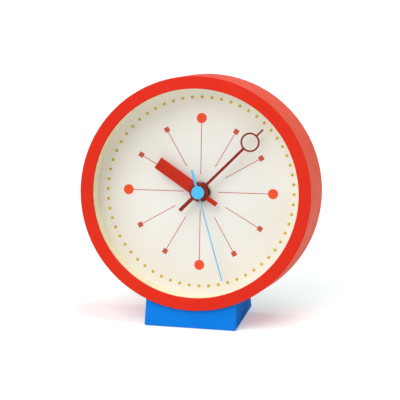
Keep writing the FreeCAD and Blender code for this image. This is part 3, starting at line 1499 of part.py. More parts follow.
PIECES = [
    base_block(), base_pad(), base_screws(),
    case_drum(), lens(), dial_ring(), dial(),
    rear_cover(), rear_cover_screws(), battery_cover(),
    movement_front_shell(), movement_rear_shell(), middle_plate(),
    centre_bush(), centre_washer(), centre_nut(),
    second_wheel(), rotor(), intermediate_wheel(), third_wheel(), centre_wheel(),
    minute_wheel(), hour_wheel(), alarm_wheel(),
    time_knob(), alarm_knob(), alarm_switch(),
    hour_hand(), minute_hand(), second_hand(), alarm_hand(),
    stator(), coil_core(), coil_bobbin(), coil_winding(),
    circuit_board(), control_chip(), quartz_crystal(),
    battery(), battery_contact("battery_positive_contact", ""),
    battery_contact("battery_negative_contact", "-"),
    alarm_contact(), sounder(), sounder_leads(),
]


# ---- Checks and files ----

doc.recompute()
for item in doc.Objects:
    if "Invalid" in item.State or "Error" in item.State:
        raise RuntimeError("%s is %s" % (item.Label, item.State))
for piece in PIECES:
    if piece.Shape.isNull() or not piece.Shape.isValid():
        raise RuntimeError("%s has no valid shape" % piece.Label)

os.makedirs("parts", exist_ok=True)
for piece in PIECES:
    piece.Shape.exportStep("parts/%s.step" % piece.Label)
    print("%s: %d solids, %.1f mm3" % (piece.Label, len(piece.Shape.Solids), piece.Shape.Volume))
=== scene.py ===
import json
import math

import bmesh
import bpy
from mathutils import Matrix, Vector

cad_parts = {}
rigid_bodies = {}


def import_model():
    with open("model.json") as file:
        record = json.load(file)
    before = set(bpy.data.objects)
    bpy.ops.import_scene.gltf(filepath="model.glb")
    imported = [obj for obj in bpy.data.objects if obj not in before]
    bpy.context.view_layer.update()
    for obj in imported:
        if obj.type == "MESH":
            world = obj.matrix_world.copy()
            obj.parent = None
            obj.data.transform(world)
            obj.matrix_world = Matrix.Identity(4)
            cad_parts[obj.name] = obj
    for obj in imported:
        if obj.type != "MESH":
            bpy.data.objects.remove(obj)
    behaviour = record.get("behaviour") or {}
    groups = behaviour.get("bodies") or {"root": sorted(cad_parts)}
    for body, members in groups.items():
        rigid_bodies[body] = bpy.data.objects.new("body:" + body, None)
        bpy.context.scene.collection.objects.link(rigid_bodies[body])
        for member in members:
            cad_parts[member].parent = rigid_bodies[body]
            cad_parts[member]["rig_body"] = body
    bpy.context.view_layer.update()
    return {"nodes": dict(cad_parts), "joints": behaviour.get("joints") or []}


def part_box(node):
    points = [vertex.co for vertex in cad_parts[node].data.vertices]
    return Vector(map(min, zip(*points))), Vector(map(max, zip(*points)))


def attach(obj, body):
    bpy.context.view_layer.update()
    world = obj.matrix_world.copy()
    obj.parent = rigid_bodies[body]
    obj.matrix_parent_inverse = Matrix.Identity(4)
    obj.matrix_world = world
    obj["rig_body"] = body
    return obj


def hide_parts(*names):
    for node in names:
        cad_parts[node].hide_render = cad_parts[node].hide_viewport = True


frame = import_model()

# Sizes and places of the pieces are in millimetres, and those of the floor, the lamps and the
# camera in metres.
MM = 0.001


# ---- Base block ----
# A wedge of fibreboard, sawn, hollowed on top to the drum's round and sprayed with blue lacquer.
# Sanding between the coats leaves its edges slightly round. Two screws hold the drum in its hollow.
BLOCK_EDGE = 0.35

# On every piece, corners nearer than WELD count as one, faces bent less than FLAT as one face, and
# edges bent more than SHARP get rounded. Nearly all of a noise lies between its low and high value.
WELD = 0.002
FLAT, SHARP = math.radians(0.5), math.radians(28)
NOISE_LOW, NOISE_HIGH = 0.3, 0.7


def linear(hex_colour):
    """The linear colour that a shader takes, from an sRGB hex value."""
    channels = [int(hex_colour[start:start + 2], 16) / 255 for start in (1, 3, 5)]
    return [c / 12.92 if c <= 0.04045 else ((c + 0.055) / 1.055) ** 2.4 for c in channels] + [1.0]


def add(material, kind, settings=None, links=None):
    """Adds a shader node. A setting is a property or an input's value, and a link feeds an input.
    An input goes by its name, or by its number where several inputs share a name."""
    def shown(sockets, name=None):
        if isinstance(name, int):
            return sockets[name]
        return next(s for s in sockets if s.enabled and name in (None, s.name))
    node = material.node_tree.nodes.new(kind)
    for name, setting in (settings or {}).items():
        if isinstance(name, str) and hasattr(node, name):
            setattr(node, name, setting)
        else:
            shown(node.inputs, name).default_value = setting
    for name, source in (links or {}).items():
        output = shown(source.outputs) if isinstance(source, bpy.types.Node) else source
        material.node_tree.links.new(output, shown(node.inputs, name))
    return node


def new_material(name):
    """An empty material, and the place on the piece in metres that its patterns follow."""
    material = bpy.data.materials.new(name)
    material.use_nodes = True
    material.node_tree.nodes.clear()
    return material, add(material, "ShaderNodeTexCoord").outputs["Object"]


def noise(material, place, size_mm, detail):
    """A cloudy pattern with patches of a real size."""
    return add(material, "ShaderNodeTexNoise", {"Scale": 1 / (size_mm * MM), "Detail": detail},
               {"Vector": place})


def spread_noise(material, place, size_mm, detail, low=0.0, high=1.0):
    """The same pattern, stretched so that nearly all of it lies between two values."""
    return add(material, "ShaderNodeMapRange",
               {"From Min": NOISE_LOW, "From Max": NOISE_HIGH, "To Min": low, "To Max": high},
               {"Value": noise(material, place, size_mm, detail)})


def drift(material, place, patch_mm, one_colour, other_colour, detail=3.0):
    """A colour that drifts between two close shades in patches of a real size."""
    return add(material, "ShaderNodeMix",
               {"data_type": "RGBA", "A": linear(one_colour), "B": linear(other_colour)},
               {"Factor": spread_noise(material, place, patch_mm, detail)})


def rubbed(material, place, patch_mm, smooth, rough, detail=4.0):
    """A roughness that drifts between two values, as handling and polishing leave it."""
    return spread_noise(material, place, patch_mm, detail, smooth, rough)


def relief(material, place, grain_mm, height_mm, detail=2.0):
    """A fine relief of grains of a real size and height."""
    return add(material, "ShaderNodeBump", {"Distance": height_mm * MM},
               {"Height": noise(material, place, grain_mm, detail)})


def finish_material(material, shader):
    """Makes a shader the surface of its material."""
    add(material, "ShaderNodeOutputMaterial", links={"Surface": shader})
    return material


def surface(name, settings, colour, roughness, grain):
    """A material of one shader. Its colour takes a patch size in mm and two shades, its roughness a
    patch size and two values, and its grain a size and a height in mm. Each may end with the detail
    of its noise."""
    material, place = new_material(name)
    return finish_material(material, add(material, "ShaderNodeBsdfPrincipled", settings, {
        "Base Color": drift(material, place, *colour),
        "Roughness": rubbed(material, place, *roughness),
        "Normal": relief(material, place, *grain)}))


def lacquered_fibreboard(name, colour, thicker_colour, haze, haze_weight, smooth, rough):
    """Matt lacquer on sanded fibreboard: an even colour that is a shade deeper where the coat lies
    thicker, a haze of its own colour on faces seen from the side, and a spray gun's orange peel."""
    sheen = {"Sheen Weight": haze_weight, "Sheen Roughness": 0.35, "Sheen Tint": linear(haze)}
    return surface(name, {"IOR": 1.28, **sheen}, colour=(30.0, colour, thicker_colour),
                   roughness=(9.0, smooth, rough), grain=(1.4, 0.012))


def softened(node, edge_mm, material, steps=3, cutter=None):
    """A copy of a solid with its facets welded and its sharp edges slightly rounded, in its place.
    A cutter takes its shape out of the copy first."""
    form = bmesh.new()
    form.from_mesh(frame["nodes"][node].data)
    bmesh.ops.remove_doubles(form, verts=form.verts, dist=WELD * MM)
    bmesh.ops.dissolve_limit(form, angle_limit=FLAT, verts=form.verts, edges=form.edges)
    mesh = bpy.data.meshes.new(node + "_finish")
    form.to_mesh(mesh)
    form.free()
    mesh.shade_smooth()
    mesh.materials.append(material)
    piece = bpy.data.objects.new(node + "_finish", mesh)
    bpy.context.scene.collection.objects.link(piece)
    if cutter:
        cut_away(piece, cutter)
    round_edges(piece, edge_mm, steps)
    stand_in(piece, node)


def round_edges(piece, edge_mm, steps=3):
    """Rounds every sharp edge by a small width and shades the faces beside it flat."""
    rounding = piece.modifiers.new("Round edges", "BEVEL")
    rounding.width = edge_mm * MM
    rounding.segments = steps
    rounding.limit_method = "ANGLE"
    rounding.angle_limit = SHARP
    rounding.harden_normals = True


def stand_in(piece, node):
    """Lets a finished piece stand for a solid: same body, and the solid hidden."""
    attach(piece, frame["nodes"][node]["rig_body"])
    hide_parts(node)


softened("base_block", BLOCK_EDGE, lacquered_fibreboard(
    "Blue lacquered fibreboard", "#0087f0", "#007fe7", haze="#3d8ee0", haze_weight=0.0,
    smooth=0.8, rough=0.9))


# ---- Anti-slip pad ----
# A sheet of black rubber, die-cut and glued into the recess under the block.
# Only its lowest fraction of a millimetre shows, as the thin dark line that the clock stands on.

def dress(node, material):
    """Gives a solid that keeps its own shape its real finish."""
    frame["nodes"][node].material_slots[0].material = material


def cut_rubber(name):
    """Matt black rubber sheet: dull, slightly grey where the talc of the mould stays in its grain."""
    return surface(name, {"IOR": 1.52}, colour=(0.8, "#1d1d1d", "#2e2d2c"),
                   roughness=(3.0, 0.75, 0.95), grain=(0.35, 0.03))


dress("base_pad", cut_rubber("Matt rubber sheet"))


# ---- Base screws ----
# Two pan-head steel screws, driven up through the block into the drum's wall.
# Bright zinc covers them, with the faint blue and yellow clouds of a passivated plating.

def zinc_plated_steel(name):
    """Zinc plating on pressed steel: grey metal, softly cloudy, neither polished nor dull."""
    return surface(name, {"Metallic": 1.0}, colour=(2.5, "#b4b9c0", "#c6c3b6"),
                   roughness=(0.8, 0.22, 0.42), grain=(0.3, 0.004))


zinc = zinc_plated_steel("Zinc plated steel")
dress("base_screws", zinc)


# ---- Drum ----
# The case: a ring turned from fibreboard with a narrow lip in front, sprayed with red lacquer.
# The lens and the inner ring lie in its bore, and its rear has a rabbet for the cover.
DRUM_RADIUS = 63.0
LIP_RADIUS = 56.2
BORE_RADIUS = 58.5
RABBET_RADIUS = 61.9
LIP_FRONT = 15.8
LIP_BACK = 13.8
DRUM_BACK = -22.2
RABBET_FACE = -20.2
DRUM_EDGE, DRUM_EDGE_STEPS = 0.5, 4
CREASE = math.radians(35)


def joint_called(name):
    """One of the frame's joints."""
    return next(joint for joint in frame["joints"] if joint["name"] == name)


# The clock leans back on its base: x to the right, y up along the dial, z out of the dial.
seconds_turn = joint_called("second_turn")
out_of_dial = -Vector(seconds_turn["axis"]).normalized()
up_the_dial = out_of_dial.cross(Vector((1, 0, 0)))
clock_frame = Matrix.Translation(seconds_turn["pos_m"]) @ Matrix((
    (1, 0, 0), up_the_dial, out_of_dial)).transposed().to_4x4() @ Matrix.Scale(MM, 4)


def new_piece(name, form, material, placed=clock_frame):
    """Makes a piece of a form drawn in millimetres in the clock's leaning frame. Faces that meet at
    more than the crease's angle are shaded apart."""
    bmesh.ops.recalc_face_normals(form, faces=form.faces)
    form.transform(placed)
    mesh = bpy.data.meshes.new(name)
    form.to_mesh(mesh)
    form.free()
    mesh.shade_smooth()
    mesh.set_sharp_from_angle(angle=CREASE)
    mesh.materials.append(material)
    piece = bpy.data.objects.new(name, mesh)
    bpy.context.scene.collection.objects.link(piece)
    return piece


def turned(form, outline, around=(0.0, 0.0), steps=192, closed=True, dip=lambda radius, angle: 0.0):
    """Turns an outline of (radius, height) about an upright axis; points on the axis close it.
    A dip makes the radius less at some angles, as between the ribs of a knob."""
    rows = []
    for radius, height in outline:
        if radius == 0:
            rows.append([form.verts.new((around[0], around[1], height))] * steps)
            continue
        row = []
        for angle in (2 * math.pi * step / steps for step in range(steps)):
            out = radius - dip(radius, angle)
            row.append(form.verts.new((around[0] + out * math.cos(angle),
                                       around[1] + out * math.sin(angle), height)))
        rows.append(row)
    following = rows[1:] + rows[:1] if closed else rows[1:]
    for row, next_row in zip(rows, following):
        for step in range(steps):
            corners = [row[step], row[(step + 1) % steps], next_row[(step + 1) % steps], next_row[step]]
            form.faces.new(list(dict.fromkeys(corners)))
    return form


red_lacquer = lacquered_fibreboard(
    "Red lacquered fibreboard", "#e92b10", "#e2250c", haze="#ffa05c", haze_weight=0.3,
    smooth=0.5, rough=0.6)
drum = new_piece("case_drum_finish", turned(bmesh.new(), [
    (DRUM_RADIUS, LIP_FRONT), (LIP_RADIUS, LIP_FRONT), (LIP_RADIUS, LIP_BACK), (BORE_RADIUS, LIP_BACK),
    (BORE_RADIUS, RABBET_FACE), (RABBET_RADIUS, RABBET_FACE), (RABBET_RADIUS, DRUM_BACK),
    (DRUM_RADIUS, DRUM_BACK)]), red_lacquer)
round_edges(drum, DRUM_EDGE, DRUM_EDGE_STEPS)
stand_in(drum, "case_drum")


# ---- Lens ----
# A disc of clear cast acrylic, coated against glare and held against the lip by the inner ring.
# It is clean and flat, so it shows as little more than the depth in front of the dial.

def clear_acrylic(name):
    """Cast acrylic with a coat against glare: clear, and nearly free of reflections. The coat is
    drawn as a low index, and light falls through without a shadow."""
    material, place = new_material(name)
    pane = add(material, "ShaderNodeBsdfPrincipled", {
        "Base Color": (1, 1, 1, 1), "Transmission Weight": 1.0, "IOR": 1.12}, {
        "Roughness": rubbed(material, place, 12.0, 0.0, 0.015)})
    rays = add(material, "ShaderNodeLightPath").outputs
    lets_by = add(material, "ShaderNodeMath", {"operation": "MAXIMUM"}, {
        0: rays["Is Shadow Ray"], 1: rays["Is Diffuse Ray"]})
    return finish_material(material, add(material, "ShaderNodeMixShader", {}, {
        0: lets_by, 1: pane, 2: add(material, "ShaderNodeBsdfTransparent")}))


dress("lens", clear_acrylic("Clear acrylic"))


# ---- Inner ring ----
# A short tube moulded in cream ABS that spaces the dial from the lens and covers the bare bore.
# Its wall shows all round the dial as a soft, warm step down from the red lip.

def moulded_plastic(name, colour, other_colour, grain_mm=0.45, height_mm=0.018, dull=0.55):
    """Injection moulded plastic: a dull sheen broken up by the fine texture etched into its mould."""
    return surface(name, {"IOR": 1.53}, colour=(14.0, colour, other_colour),
                   roughness=(5.0, dull - 0.03, dull + 0.03), grain=(grain_mm, height_mm))


dress("dial_ring", moulded_plastic("Cream moulded ABS", "#f8f2cf", "#f4edc6",
                                   grain_mm=0.5, height_mm=0.008, dull=0.5))


# ---- Dial and its print ----
# A disc of card, screen-printed with thin lines, squares, discs and dots, and laid on the movement.
# The print is slightly turned against the case, as a dial is that is set by hand.
PRINT_TURN = 1.28
INK = 0.03
DOT_CIRCLE, DOT_RADIUS, DOT_COUNT, DOT_POINTS = 51.28, 0.86, 60, 20
DISC_CIRCLE, DISC_RADIUS, DISC_POINTS = 39.8, 2.75, 64
SQUARE_CIRCLE, SQUARE_SIDE = 38.1, 2.7
LINE_WIDTH = 0.38
LONG_LINE_START, SHORT_LINE_START = 9.5, 15.8


def coated_card(name, colour, other_colour):
    """Coated card: matt, nearly white and warm, with a fibre texture too fine to see from afar."""
    return surface(name, {"IOR": 1.45}, colour=(22.0, colour, other_colour),
                   roughness=(4.0, 0.62, 0.74), grain=(0.25, 0.004, 4.0))


def screen_ink(name, colour, thin_colour):
    """Screen-printing ink: flat and opaque, a shade lighter where the mesh left less of it."""
    return surface(name, {"IOR": 1.38}, colour=(0.6, colour, thin_colour, 2.0),
                   roughness=(1.0, 0.58, 0.7), grain=(0.2, 0.003))


def hour_place(hour, distance, across=0.0):
    """A place on the print, by the hour it points to and its distances along and across that line."""
    angle = math.radians(90 + PRINT_TURN - 30 * hour)
    along = Vector((math.cos(angle), math.sin(angle)))
    return along * distance + Vector((along.y, -along.x)) * across


def inked(form, corners):
    """Adds one flat printed shape, as thick as the ink, to a form."""
    bottom = [form.verts.new((corner[0], corner[1], 0.0)) for corner in corners]
    face = form.faces.new(bottom)
    raised = bmesh.ops.extrude_face_region(form, geom=[face])["geom"]
    top = [item for item in raised if isinstance(item, bmesh.types.BMVert)]
    bmesh.ops.translate(form, vec=(0, 0, INK), verts=top)


def inked_disc(form, centre, radius, points):
    """Adds a printed disc round a place on the print."""
    turns = [2 * math.pi * step / points for step in range(points)]
    inked(form, [centre + radius * Vector((math.cos(turn), math.sin(turn))) for turn in turns])


def inked_bar(form, hour, start, end, width):
    """Adds a printed bar that points to an hour, from one distance to another."""
    inked(form, [hour_place(hour, start, -width / 2), hour_place(hour, start, width / 2),
                 hour_place(hour, end, width / 2), hour_place(hour, end, -width / 2)])


dress("dial", coated_card("Coated dial card", "#f6f5ef", "#f3f2ea"))

dots, discs, squares, lines = bmesh.new(), bmesh.new(), bmesh.new(), bmesh.new()
for minute in range(DOT_COUNT):
    inked_disc(dots, hour_place(minute / 5, DOT_CIRCLE), DOT_RADIUS, DOT_POINTS)
for hour in range(12):
    if hour % 3 == 0:
        inked_disc(discs, hour_place(hour, DISC_CIRCLE), DISC_RADIUS, DISC_POINTS)
        inked_bar(lines, hour, LONG_LINE_START, DISC_CIRCLE - DISC_RADIUS, LINE_WIDTH)
    else:
        inner_side = SQUARE_CIRCLE - SQUARE_SIDE / 2
        inked_bar(squares, hour, inner_side, inner_side + SQUARE_SIDE, SQUARE_SIDE)
        inked_bar(lines, hour, SHORT_LINE_START, inner_side, LINE_WIDTH)

for name, form, colour, thin_colour in (
        ("minute_dots", dots, "#cfb412", "#d6bc28"),
        ("quarter_discs", discs, "#f74a18", "#f85420"),
        ("hour_squares", squares, "#c64e30", "#cc583c"),
        ("hour_lines", lines, "#c03e28", "#c44731")):
    ink = screen_ink("Screen ink of the " + name.replace("_", " "), colour, thin_colour)
    printed = new_piece(name, form, ink)
    printed.data.shade_flat()
    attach(printed, "clock")


# ---- Hands ----
# Four blanked aluminium hands, sprayed in matt paint and pressed on their tubes. The alarm hand
# lies under the hour hand. The second hand has a round cap pressed over its arbor.
HAND_EDGE, HAND_EDGE_STEPS = 0.12, 2


def sprayed_metal(name, colour, other_colour):
    """Matt spray paint on thin metal: smooth and slightly speckled, with hardly any sheen."""
    return surface(name, {"IOR": 1.25}, colour=(6.0, colour, other_colour),
                   roughness=(2.0, 0.5, 0.62), grain=(0.4, 0.004))


for node, paint, colour, other_colour in (
        ("hour_hand", "Red sprayed aluminium", "#c72604", "#c22303"),
        ("minute_hand", "Dark red sprayed aluminium", "#902418", "#881e12"),
        ("second_hand", "Light blue sprayed aluminium", "#52c8fa", "#4cc1f6"),
        ("alarm_hand", "Red sprayed alarm hand", "#c42a22", "#be2820")):
    softened(node, HAND_EDGE, sprayed_metal(paint, colour, other_colour), HAND_EDGE_STEPS)


# ---- Centre bush, washer and nut ----
# The threaded brass bush of the movement comes through the dial, where a nylon washer and a
# blackened steel nut with turned corners hold it. The nut shows dark round the hubs of the hands.
NUT_EDGE, CORNER_RADIUS = 0.45, 5.5
CUTTER_RADIUS, CUTTER_SPAN = 7.5, (-1.0, 4.0)


def turned_brass(name):
    """Turned brass: yellow metal with the fine rings that the lathe tool leaves around its axis."""
    tool_feed_mm = 0.12
    material, place = new_material(name)
    across = add(material, "ShaderNodeTexWave", {
        "bands_direction": "Y", "Scale": 1 / (tool_feed_mm * MM) / (2 * math.pi), "Distortion": 0.6},
        {"Vector": place})
    return finish_material(material, add(material, "ShaderNodeBsdfPrincipled", {"Metallic": 1.0}, {
        "Base Color": drift(material, place, 1.5, "#cba24f", "#d6b062"),
        "Roughness": rubbed(material, place, 0.6, 0.18, 0.34),
        "Normal": add(material, "ShaderNodeBump", {"Distance": 0.004 * MM}, {"Height": across})}))


def blackened_steel(name):
    """Blackened steel: nearly black, slightly brown, with worn lighter specks."""
    return surface(name, {"Metallic": 1.0}, colour=(0.7, "#2b2323", "#3b3030"),
                   roughness=(0.5, 0.35, 0.55), grain=(0.3, 0.004))


def punched_nylon(name):
    """Nylon sheet, punched: cream and waxy, nearly the dial's own colour."""
    return surface(name, {"IOR": 1.45, "Subsurface Weight": 0.1, "Subsurface Scale": 0.3 * MM},
                   colour=(2.0, "#efe9dc", "#e8e1d2"), roughness=(0.8, 0.45, 0.6), grain=(0.4, 0.004))


def cut_away(piece, cutter):
    """Takes the cutter's shape out of a piece and leaves nothing of the cutter."""
    cut = piece.modifiers.new("Cut away", "BOOLEAN")
    cut.object = cutter
    cut.solver = "EXACT"
    cut.use_self = True
    bpy.context.view_layer.update()
    graph = bpy.context.evaluated_depsgraph_get()
    piece.data = bpy.data.meshes.new_from_object(piece.evaluated_get(graph))
    piece.modifiers.clear()
    bpy.data.objects.remove(cutter)


brass = turned_brass("Turned brass")
dress("centre_bush", brass)
low, high = CUTTER_SPAN
ring_cutter = turned(bmesh.new(), [
    (CORNER_RADIUS, low), (CUTTER_RADIUS, low), (CUTTER_RADIUS, high), (CORNER_RADIUS, high)])
softened("centre_nut", NUT_EDGE, blackened_steel("Blackened steel"),
         cutter=new_piece("nut_corners", ring_cutter, brass))
dress("centre_washer", punched_nylon("Punched nylon"))


# ---- Movement shells and middle plate ----
# Two trays moulded in black ABS that snap together around the train, and a grey plate between
# them that carries the arbors' middle bearings.
black_abs = moulded_plastic("Black moulded ABS", "#1b1b1c", "#212122")
grey_abs = moulded_plastic("Grey moulded ABS", "#8c8f91", "#94979a", dull=0.5)
for node in ("movement_front_shell", "movement_rear_shell"):
    dress(node, black_abs)
dress("middle_plate", grey_abs)


# ---- Wheels ----
# Small acetal wheels, each moulded in one piece with its pinion and arbor, and natural white.
# The rotor's pinion carries a ring magnet, which shows as dark ferrite.

def natural_acetal(name):
    """Natural acetal: milky white and slightly see-through at the teeth, with a waxy gloss."""
    return surface(name, {"IOR": 1.48, "Subsurface Weight": 0.15, "Subsurface Scale": 0.4 * MM},
                   colour=(3.0, "#ecebe2", "#e4e2d6"), roughness=(2.0, 0.28, 0.4), grain=(0.6, 0.004))


def sintered_ferrite(name):
    """Sintered ferrite: dark grey ceramic of fine grains, matt with tiny glints."""
    grain_mm = 0.12
    material, place = new_material(name)
    grains = add(material, "ShaderNodeTexVoronoi", {"Scale": 1 / (grain_mm * MM)}, {"Vector": place})
    return finish_material(material, add(material, "ShaderNodeBsdfPrincipled", {"IOR": 2.0}, {
        "Base Color": drift(material, place, 0.4, "#37373a", "#434347"),
        "Roughness": rubbed(material, place, 0.3, 0.45, 0.65),
        "Normal": add(material, "ShaderNodeBump", {"Distance": 0.01 * MM}, {"Height": grains})}))


acetal = natural_acetal("Natural acetal")
for node in ("second_wheel", "intermediate_wheel", "third_wheel", "centre_wheel", "minute_wheel",
             "hour_wheel", "alarm_wheel", "coil_bobbin"):
    dress(node, acetal)
dress("rotor", sintered_ferrite("Sintered ferrite"))


# ---- Motor coil and stator ----
# Enamelled copper wire wound on an acetal bobbin over an iron core, whose ends touch the two
# arms of a stamped stator.

def enamelled_wire(name):
    """Enamelled copper wire in close turns: warm and glossy, with each turn painted darker where it
    meets the next and lighter on its crown, as painted shade and highlight. The real wire is about 0.05
    mm thick; its turns are drawn at 0.22 mm, as coarse as they need to be to show."""
    turn_mm = 0.22
    material, place = new_material(name)
    turns = add(material, "ShaderNodeTexWave", {
        "bands_direction": "X", "Scale": 1 / (turn_mm * MM) / (2 * math.pi), "Distortion": 0.4,
        "Detail": 1.0}, {"Vector": place})
    # Painted shade and highlight: every turn darker at its sides and lighter on its crown.
    turn_shading = add(material, "ShaderNodeMix", {
        "data_type": "RGBA", "A": linear("#8a4218"), "B": linear("#c8733a")}, {"Factor": turns})
    return finish_material(material, add(material, "ShaderNodeBsdfPrincipled", {"Metallic": 0.9}, {
        "Base Color": turn_shading,
        "Roughness": rubbed(material, place, 0.8, 0.2, 0.34),
        "Normal": add(material, "ShaderNodeBump", {"Distance": 0.05 * MM}, {"Height": turns})}))


dress("coil_winding", enamelled_wire("Enamelled copper wire"))
for node in ("coil_core", "stator"):
    dress(node, zinc)


# ---- Circuit board, chip and crystal ----
# A strip of glass-epoxy laminate under green solder mask, with a blob of epoxy over the bare chip
# and the crystal's tin can beside it.

def masked_laminate(name):
    """Solder mask over glass-epoxy laminate: glossy green with the weave of the glass just showing."""
    weave_mm = 0.6
    material, place = new_material(name)
    weave = add(material, "ShaderNodeTexChecker", {
        "Scale": 1 / (weave_mm * MM), "Color1": linear("#1f6b34"), "Color2": linear("#236f39")},
        {"Vector": place})
    return finish_material(material, add(material, "ShaderNodeBsdfPrincipled", {"IOR": 1.55}, {
        "Base Color": weave,
        "Roughness": rubbed(material, place, 2.0, 0.22, 0.34),
        "Normal": relief(material, place, weave_mm, 0.01)}))


def cast_epoxy(name):
    """Epoxy dropped on a chip and cured: black and glossy, slightly wavy."""
    return surface(name, {"IOR": 1.55}, colour=(1.5, "#101011", "#19191b"),
                   roughness=(1.0, 0.16, 0.3), grain=(1.2, 0.02))


dress("circuit_board", masked_laminate("Masked glass-epoxy laminate"))
dress("control_chip", cast_epoxy("Cast epoxy"))
dress("quartz_crystal", zinc)


# ---- Cell and contacts ----
# A standard AA cell in a plain shrink sleeve, dark with a coppery shoulder at its positive end,
# between two folded strips of plated steel. The alarm's contact is a leaf of brass.
SHOULDER_LENGTH, SHOULDER_BLUR = 13.0, 0.1


def shrink_sleeve(name, node):
    """Printed shrink sleeve: smooth and glossy, slightly wavy, in two plain colours."""
    material, place = new_material(name)
    positive_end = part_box(node)[1].x
    along = add(material, "ShaderNodeSeparateXYZ", {}, {"Vector": place})
    band = add(material, "ShaderNodeMapRange", {
        "From Min": positive_end - (SHOULDER_LENGTH + SHOULDER_BLUR) * MM,
        "From Max": positive_end - (SHOULDER_LENGTH - SHOULDER_BLUR) * MM}, {"Value": along})
    colours = add(material, "ShaderNodeMix", {"data_type": "RGBA"}, {
        "Factor": band,
        "A": drift(material, place, 8.0, "#3a4149", "#424a53"),
        "B": drift(material, place, 8.0, "#b9763f", "#c17e46")})
    return finish_material(material, add(material, "ShaderNodeBsdfPrincipled", {
        "IOR": 1.5, "Metallic": 0.3}, {
        "Base Color": colours,
        "Roughness": rubbed(material, place, 4.0, 0.2, 0.32),
        "Normal": relief(material, place, 6.0, 0.03)}))


dress("battery", shrink_sleeve("Printed shrink sleeve", "battery"))
for node in ("battery_positive_contact", "battery_negative_contact"):
    dress(node, zinc)
dress("alarm_contact", brass)


# ---- Sounder and its leads ----
# A small buzzer in a black case, snapped into the rear cover behind the sound slots, with two
# insulated leads, one red and one black, that come from the movement.

def lead_insulation(name, node):
    """Extruded PVC: soft gloss, one lead red and the other black."""
    material, place = new_material(name)
    low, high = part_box(node)
    across = add(material, "ShaderNodeSeparateXYZ", {}, {"Vector": place})
    side = add(material, "ShaderNodeMath", {"operation": "GREATER_THAN", 1: (low.x + high.x) / 2}, {
        0: across.outputs["X"]})
    colours = add(material, "ShaderNodeMix", {"data_type": "RGBA"}, {
        "Factor": side,
        "A": drift(material, place, 3.0, "#b3201b", "#a81c18"),
        "B": drift(material, place, 3.0, "#161616", "#1f1f1f")})
    return finish_material(material, add(material, "ShaderNodeBsdfPrincipled", {"IOR": 1.53}, {
        "Base Color": colours,
        "Roughness": rubbed(material, place, 1.5, 0.32, 0.45)}))


dress("sounder", black_abs)
dress("sounder_leads", lead_insulation("Extruded lead insulation", "sounder_leads"))


# ---- Rear cover, battery door, knobs and switch ----
# All moulded: the cover and its door in black ABS with an etched texture, the two ribbed and dished
# knobs in the same, and the alarm switch's grooved button in grey. The door pulls straight out.
DOOR_EDGE, BUTTON_EDGE = 0.2, 0.15
KNOB_FRONT, KNOB_BACK = -22.5, -26.5
KNOB_RADIUS, KNOB_EDGE, SHAFT_SINK = 7.5, 0.2, 0.5
DISH_RADIUS, DISH_SLOPE, DISH_DEPTH, DISH_EDGE = 6.2, 0.6, 0.6, 0.1
RIBS, RIB_STEPS, RIB_DEPTH, RIB_FOOT = 20, 8, 0.55, 6.9
BUTTON_PLACE, BUTTON_BACK, BUTTON_WIDTH = (-1.5, -14.0), -23.75, 5.0
GROOVE_PLACES, GROOVE_WIDTH, GROOVE_DEPTH, GROOVE_RUNOUT = (-1.6, 0.0, 1.6), 0.6, 0.4, 0.5


def add_block(form, middle, size):
    """Adds a block by its middle and its size."""
    bmesh.ops.create_cube(form, matrix=Matrix.Translation(middle) @ Matrix.Diagonal((*size, 1)))


dress("rear_cover", black_abs)
softened("battery_cover", DOOR_EDGE, black_abs)


def between_ribs(radius, angle):
    """How far the grip's side dips between two ribs; inside their foot its face stays round."""
    share = min(1.0, max(0.0, (radius - RIB_FOOT) / (KNOB_RADIUS - KNOB_EDGE - RIB_FOOT)))
    return RIB_DEPTH * share * (0.5 - 0.5 * math.cos(RIBS * angle))


def shaft_alone(node):
    """The solid's own shaft and gear in the clock's frame. Its grip is cut off, and the shaft's
    bare end is closed a little further back, where it sits inside the new grip."""
    form = bmesh.new()
    form.from_mesh(frame["nodes"][node].data)
    form.transform(clock_frame.inverted())
    bmesh.ops.remove_doubles(form, verts=form.verts, dist=WELD)
    grip = [face for face in form.faces if face.calc_center_median().z < KNOB_FRONT + WELD]
    bmesh.ops.delete(form, geom=grip, context="FACES")
    bare_end = [vert for vert in form.verts if vert.is_boundary]
    bmesh.ops.translate(form, vec=(0, 0, -SHAFT_SINK), verts=bare_end)
    bmesh.ops.holes_fill(form, edges=[edge for edge in form.edges if edge.is_boundary])
    return form


GRIP_OUTLINE = [
    (0, KNOB_FRONT), (KNOB_RADIUS - KNOB_EDGE, KNOB_FRONT), (KNOB_RADIUS, KNOB_FRONT - KNOB_EDGE),
    (KNOB_RADIUS, KNOB_BACK + 3 * KNOB_EDGE), (KNOB_RADIUS - KNOB_EDGE, KNOB_BACK + KNOB_EDGE),
    (RIB_FOOT, KNOB_BACK), (DISH_RADIUS + DISH_EDGE, KNOB_BACK), (DISH_RADIUS, KNOB_BACK + DISH_EDGE),
    (DISH_RADIUS - DISH_SLOPE, KNOB_BACK + DISH_DEPTH), (0, KNOB_BACK + DISH_DEPTH)]
for node in ("time_knob", "alarm_knob"):
    axis = clock_frame.inverted() @ Vector(joint_called(node + "_turn")["pos_m"])
    knob = turned(shaft_alone(node), GRIP_OUTLINE, axis, RIBS * RIB_STEPS, closed=False,
                  dip=between_ribs)
    stand_in(new_piece(node + "_finish", knob, black_abs), node)

grooves = bmesh.new()
for across in GROOVE_PLACES:
    add_block(grooves, (BUTTON_PLACE[0] + across, BUTTON_PLACE[1], BUTTON_BACK),
              (GROOVE_WIDTH, BUTTON_WIDTH + 2 * GROOVE_RUNOUT, 2 * GROOVE_DEPTH))
softened("alarm_switch", BUTTON_EDGE, grey_abs, cutter=new_piece("switch_grooves", grooves, grey_abs))


